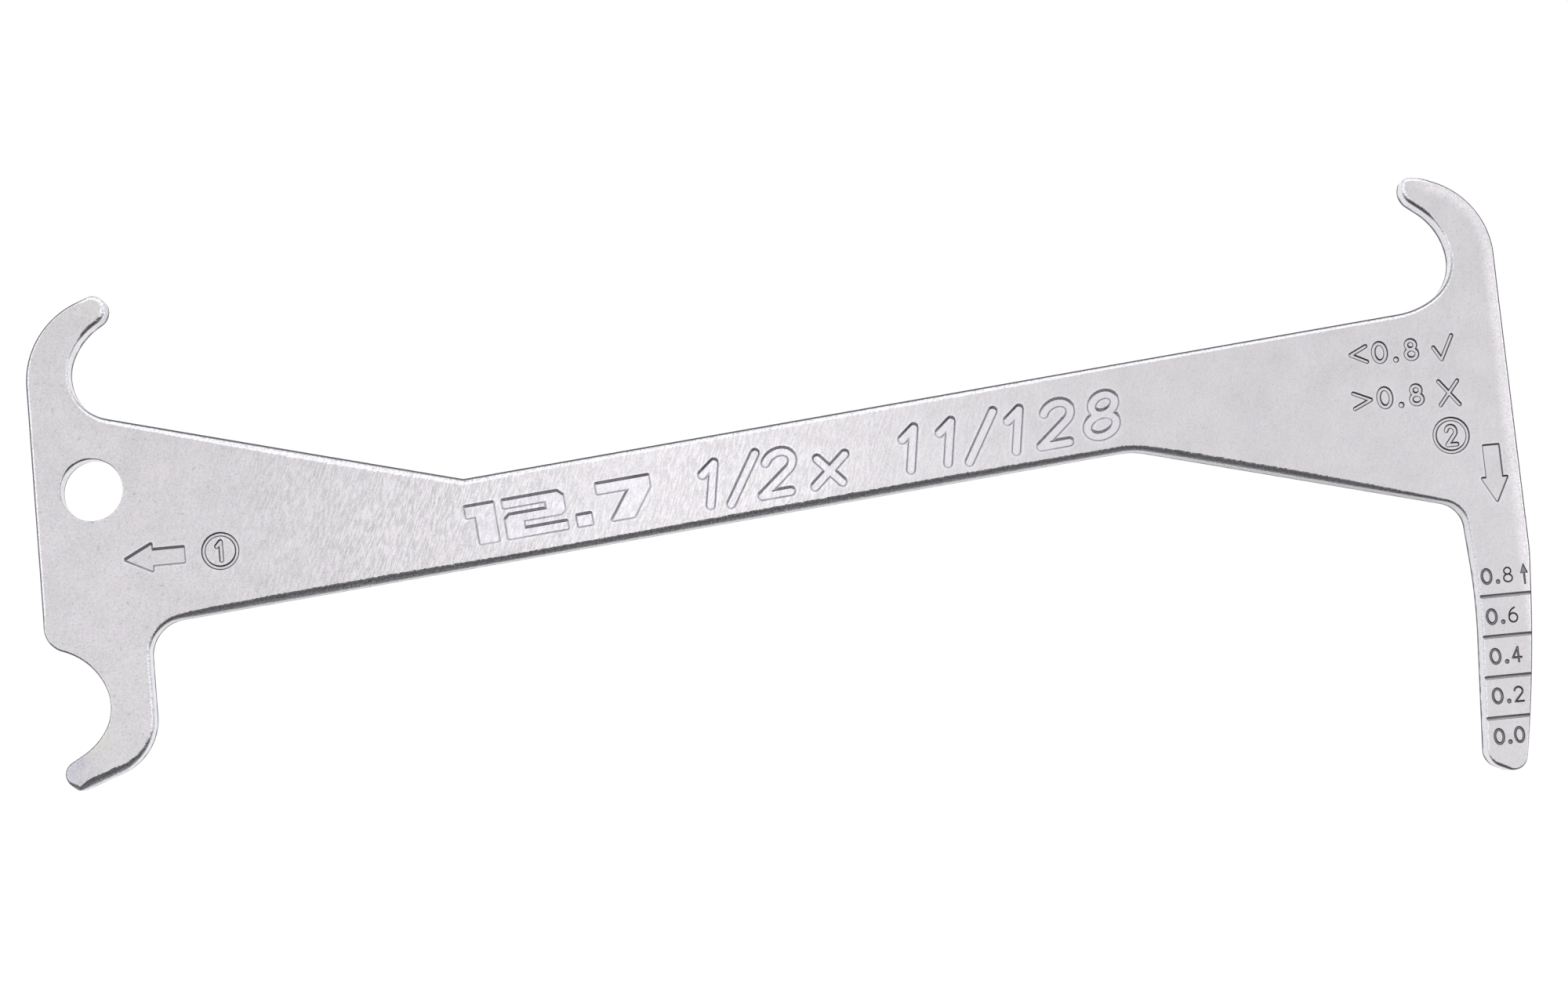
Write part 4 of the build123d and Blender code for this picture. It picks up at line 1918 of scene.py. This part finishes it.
    def hole_band(self, surface: Surface) -> tuple[Array, Array]:
        """Adds the hang hole's rolled rim and wall, its section turned about the hole's axis.

        The punch pressed harder at one side of the rim, where the painted shade line round the rim
        is darker. On the back a narrow flat ring keeps the wall's painted shade off the back face.

        Args:
            surface: the mesh in the making.

        Returns:
            The point numbers of the rim's border on the front face and on the back.
        """
        w = np.linspace(0, 2 * np.pi, self.hole_sides, endpoint=False)
        outward = np.c_[np.cos(w), np.sin(w)]
        turn = np.degrees(np.abs(np.angle(np.exp(1j * (w - np.radians(self.pressed_at))))))
        pressed = 1 - smooth((turn - self.pressed_half) / self.pressed_fade)
        thin, wide = self.hole_roll_width
        ripple = 1 + self.ripple * pressed * np.sin(self.ripples * w)
        width = (thin + (wide - thin) * pressed) * ripple
        inset, z = self.bore.section(width, np.full(len(w), self.bore.burnished_to))
        radius = self.hole_radius + inset
        grid = np.dstack([outward[:, None] * radius[..., None], z])
        pale, dark = self.hole_line_shade
        zones = self.bore.zones(inset, pale + (dark - pale) * pressed, np.full(len(w), self.hole_wall_shade))
        numbers = self.add_grid(surface, grid, zones)
        ring = outward * (radius[:, -1:] + self.back_ring)
        back = surface.add_points(np.c_[ring, np.zeros(len(w))])
        down = np.tile((0.0, 0.0, -1.0), (len(w), 2, 1))
        self.join(surface, np.c_[numbers[:, -1], back], down)
        return numbers[:, 0], back

    def seeds(self, border: Array) -> Array:
        """Points of a triangular lattice inside a border and clear of it and of the hole.

        The distance from the border is measured to every third of its points, in batches.

        Args:
            border: the closed loop.

        Returns:
            The points, one row each.
        """
        sparse, batches = 3, 24
        lo, hi = border.min(0), border.max(0)
        rows = []
        for i, y in enumerate(np.arange(lo[1], hi[1], self.lattice * self.lattice_row)):
            x = np.arange(lo[0] + self.lattice * 0.5 * (i % 2), hi[0], self.lattice)
            rows.append(np.c_[x, np.full(len(x), y)])
        p = np.vstack(rows)
        ring = Core(border[::sparse], 0.0, filled=True)
        distance = np.concatenate([ring.signed(part)[0] for part in np.array_split(p, batches)])
        clear = np.hypot(*p.T) > self.hole_radius + self.hole_clear
        return p[(distance < -self.border_clear) & clear]

    def mark_loops(self, border: Array) -> list[Array]:
        """Lines that the front face's mesh keeps: round every mark, and across the probe.

        Args:
            border: the closed loop of the front face's border.

        Returns:
            The lines, one array each.
        """
        loops = []
        for stamp, cores in self.marks.groups():
            loops += [core.loop(level) for core in cores for level in stamp.levels]
        return loops + self.line_runs(border)

    def flat(self, surface: Surface, rim: Array, hole: Array, front: bool) -> None:
        """Adds the front or the back face between the outline's border and the hole's.

        The borders, the loops round every mark and a lattice of points are joined by a
        constrained triangulation. On the front a point then falls by the marks' depth.

        Args:
            surface: the mesh in the making.
            rim: point numbers of the outline's border.
            hole: point numbers of the hole's border.
            front: whether this is the marked front face.
        """
        placed = np.vstack(surface.points)
        known = np.concatenate([rim, hole])
        border, bore = placed[rim][:, :2], placed[hole][:, :2]
        loops = self.mark_loops(border) if front else []
        xy, faces, first = triangulate(border, bore, loops, self.seeds(border))
        on_border = (first >= 0) & (first < len(known))
        used = np.unique(faces)
        new = used[~on_border[used]]
        height = np.full(len(xy), self.thickness if front else 0.0)
        normal = np.tile((0.0, 0.0, 1.0 if front else -1.0), (len(xy), 1))
        shares: dict[str, Array] = {}
        if front:
            relief = self.marks.relief(xy, self.on_probe(xy))
            height -= relief["depth"]
            normal[:, :2] = relief["slope"]
            normal /= np.linalg.norm(normal, axis=1)[:, None]
            shares = {name: relief[name][new] for name in ("stained", "burnished")}
        numbers = np.full(len(xy), -1)
        numbers[on_border] = known[first[on_border]]
        numbers[new] = surface.add_points(np.c_[xy[new], height[new]], **shares)
        p = xy[faces]
        a, b = p[:, 1] - p[:, 0], p[:, 2] - p[:, 0]
        up = a[:, 0] * b[:, 1] - a[:, 1] * b[:, 0] > 0
        faces = np.where((up == front)[:, None], faces, faces[:, ::-1])
        log.info("%s face: %d points, %d triangles", "front" if front else "back", len(used), len(faces))
        surface.add_faces(numbers[faces], normal[faces])

    def line_runs(self, border: Array) -> list[Array]:
        """The straight runs of the lines across the probe, from border to border.

        Args:
            border: the closed loop of the front face's border.

        Returns:
            The two ends of each run, which are points of the border.
        """
        sides = self.lined_sides(border)
        return [
            border[[side[np.abs(border[side, 1] - y).argmin()] for side in sides]]
            for y in self.marks.line_levels()
        ]

    def build(self) -> bpy.types.Object:
        """Builds the plate's mesh, dresses it, and puts it in place of the CAD node.

        Returns:
            The plate.
        """
        surface = Surface()
        rim, back_rim = self.edge_band(surface)
        hole, back_hole = self.hole_band(surface)
        self.flat(surface, rim, hole, front=True)
        self.flat(surface, back_rim, back_hole, front=False)
        plate = surface.build("stamped_plate")
        plate.data.materials.append(self.finish.material())
        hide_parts("gauge_plate")
        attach(plate, "root")
        return plate


# Studio


@dataclass(frozen=True)
class Studio:
    """Pale floor, soft light and the camera at the photograph's place.

    The light's spans are parts of the unit vector towards it: x to the right, y away from the
    camera's near side and z up.
    """

    eye: tuple[float, float, float] = (49.754, -32.543, 232.748)
    right: tuple[float, float, float] = (0.994989, -0.096950, 0.024456)
    up: tuple[float, float, float] = (0.094266, 0.991114, 0.093841)
    lens: float = 63.0
    sensor: float = 36.0
    shift_up: float = 0.043
    clip: tuple[float, float] = (0.01, 10.0)
    floor_half: float = 1.5
    floor_drop: float = 0.00002
    floor_color: tuple[float, float, float, float] = (0.86, 0.86, 0.87, 1.0)
    white: tuple[float, float, float, float] = (1.0, 1.0, 1.0, 1.0)
    floor_glow: float = 1.06
    glow_share: float = 0.93
    zenith: float = 0.87
    spot: float = 0.72
    spot_at: tuple[float, float] = (0.005, 0.12)
    spot_reach: float = 0.14
    low: float = 0.09
    low_span: Span = (0.15, 0.03)
    far_side: float = 0.53
    far_span: Span = (0.42, 0.62)
    flanks: float = 0.36
    flank_middle: float = 0.03
    flank_span: Span = (0.16, 0.75)
    dimmed_low: float = 0.14
    dimmed_span: Span = (0.5, 0.2)
    dimmed_far: float = 0.10
    horizon_span: Span = (0.70, 0.84)
    near_side: float = 0.115
    near_span: Span = (-0.34, -0.20)
    near_foot: float = 0.28
    foot_span: Span = (0.55, 0.25)

    def camera(self) -> None:
        """The photograph's camera: its axes are columns of its matrix, back = right x up."""
        data = bpy.data.cameras.new("camera")
        data.lens, data.sensor_width, data.shift_y = self.lens, self.sensor, self.shift_up
        data.clip_start, data.clip_end = self.clip
        obj = bpy.data.objects.new("camera", data)
        bpy.context.scene.collection.objects.link(obj)
        right, up = np.array(self.right), np.array(self.up)
        axes = np.column_stack([right, up, np.cross(right, up)])
        turn = Matrix(axes.tolist()).to_4x4()
        turn.translation = [v * MM for v in self.eye]
        obj.matrix_world = turn
        bpy.context.scene.camera = obj

    def floor(self) -> bpy.types.Object:
        """A pale floor under the back face, white to the camera and keeping the shadow.

        Returns:
            The floor.
        """
        r, z = self.floor_half, -self.floor_drop
        mesh = bpy.data.meshes.new("floor")
        mesh.from_pydata([(-r, -r, z), (r, -r, z), (r, r, z), (-r, r, z)], [], [(0, 1, 2, 3)])
        m = bpy.data.materials.new("pale_floor")
        m.use_nodes = True
        n = Nodes(m.node_tree)
        n.tree.nodes.remove(n.tree.nodes["Principled BSDF"])
        diffuse = n.add("ShaderNodeBsdfDiffuse")
        diffuse.inputs["Color"].default_value = self.floor_color
        glow = n.add("ShaderNodeEmission")
        glow.inputs["Color"].default_value = self.white
        glow.inputs["Strength"].default_value = self.floor_glow
        mix = n.add("ShaderNodeMixShader")
        n.link(n.times(self.seen(n), self.glow_share), mix.inputs[0])
        n.link(diffuse.outputs[0], mix.inputs[1])
        n.link(glow.outputs[0], mix.inputs[2])
        n.link(mix.outputs[0], n.tree.nodes["Material Output"].inputs["Surface"])
        mesh.materials.append(m)
        obj = bpy.data.objects.new("floor", mesh)
        bpy.context.scene.collection.objects.link(obj)
        return obj

    def seen(self, n: Nodes) -> Socket:
        """1 for rays from the camera, mirrors and glass, and 0 for light that falls.

        Args:
            n: the material's nodes.

        Returns:
            The switch, 0 or 1.
        """
        path = n.add("ShaderNodeLightPath")
        first = n.math("MAXIMUM", path.outputs["Is Camera Ray"], path.outputs["Is Glossy Ray"])
        return n.math("MAXIMUM", first, path.outputs["Is Transmission Ray"])

    def level(self, n: Nodes) -> Socket:
        """How bright the studio is in each direction.

        The level is even overhead with a soft spot, rises towards the far side and the flanks,
        dims a little towards the horizon, and falls to a dark near side that lightens again
        towards the table, like soft boxes and a black card round it.

        Args:
            n: the world's nodes.

        Returns:
            The level.
        """
        way = n.add("ShaderNodeTexCoord").outputs["Generated"]
        x, y, z = (n.part(way, axis) for axis in range(3))
        far = n.times(n.ramp(y, *self.far_span), self.far_side)
        aside = n.math("ABSOLUTE", n.less(x, self.flank_middle), 0.0)
        side = n.times(n.ramp(aside, *self.flank_span), self.flanks)
        spot = n.times(n.ramp(n.away(way, *self.spot_at), self.spot_reach, 0.0), self.spot)
        level = n.plus(n.plus(self.zenith, spot), n.math("MAXIMUM", far, side))
        level = n.weighted(level, (n.ramp(y, *self.low_span), self.low))
        for part, span, dimmed in (
            (z, self.dimmed_span, self.dimmed_low), (y, self.horizon_span, self.dimmed_far),
        ):
            level = n.times(level, n.less(1.0, n.times(n.ramp(part, *span), dimmed)))
        near = n.ramp(y, *self.near_span)
        card = n.weighted(self.near_side, (n.ramp(z, *self.foot_span), self.near_foot))
        return n.plus(n.times(level, near), n.times(n.less(1.0, near), card))

    def surroundings(self) -> None:
        """The studio as a world: light by the direction it comes from, white to the camera.

        Of the Mix node's sockets, 2 and 3 are those of its two numbers.
        """
        world = bpy.data.worlds.new("studio")
        bpy.context.scene.world = world
        world.use_nodes = True
        n = Nodes(world.node_tree)
        strength = n.add("ShaderNodeMix", data_type="FLOAT")
        n.link(n.add("ShaderNodeLightPath").outputs["Is Camera Ray"], strength.inputs["Factor"])
        n.link(self.level(n), strength.inputs[2])
        strength.inputs[3].default_value = 1.0
        back = n.tree.nodes["Background"]
        back.inputs["Color"].default_value = self.white
        n.link(strength.outputs[0], back.inputs["Strength"])

    def build(self) -> None:
        """Sets up the view, the camera, the floor and the light."""
        bpy.context.scene.view_settings.view_transform = "Standard"
        self.camera()
        self.floor()
        self.surroundings()


def main() -> None:
    """Builds the scene."""
    logging.basicConfig(level=logging.INFO, format="%(name)s: %(message)s")
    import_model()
    plate = GaugePlate().build()
    log.info("%s: %d points, %d faces", plate.name, len(plate.data.vertices), len(plate.data.polygons))
    Studio().build()
    log.info("studio: floor, world and camera")


if __name__ == "__main__":
    main()
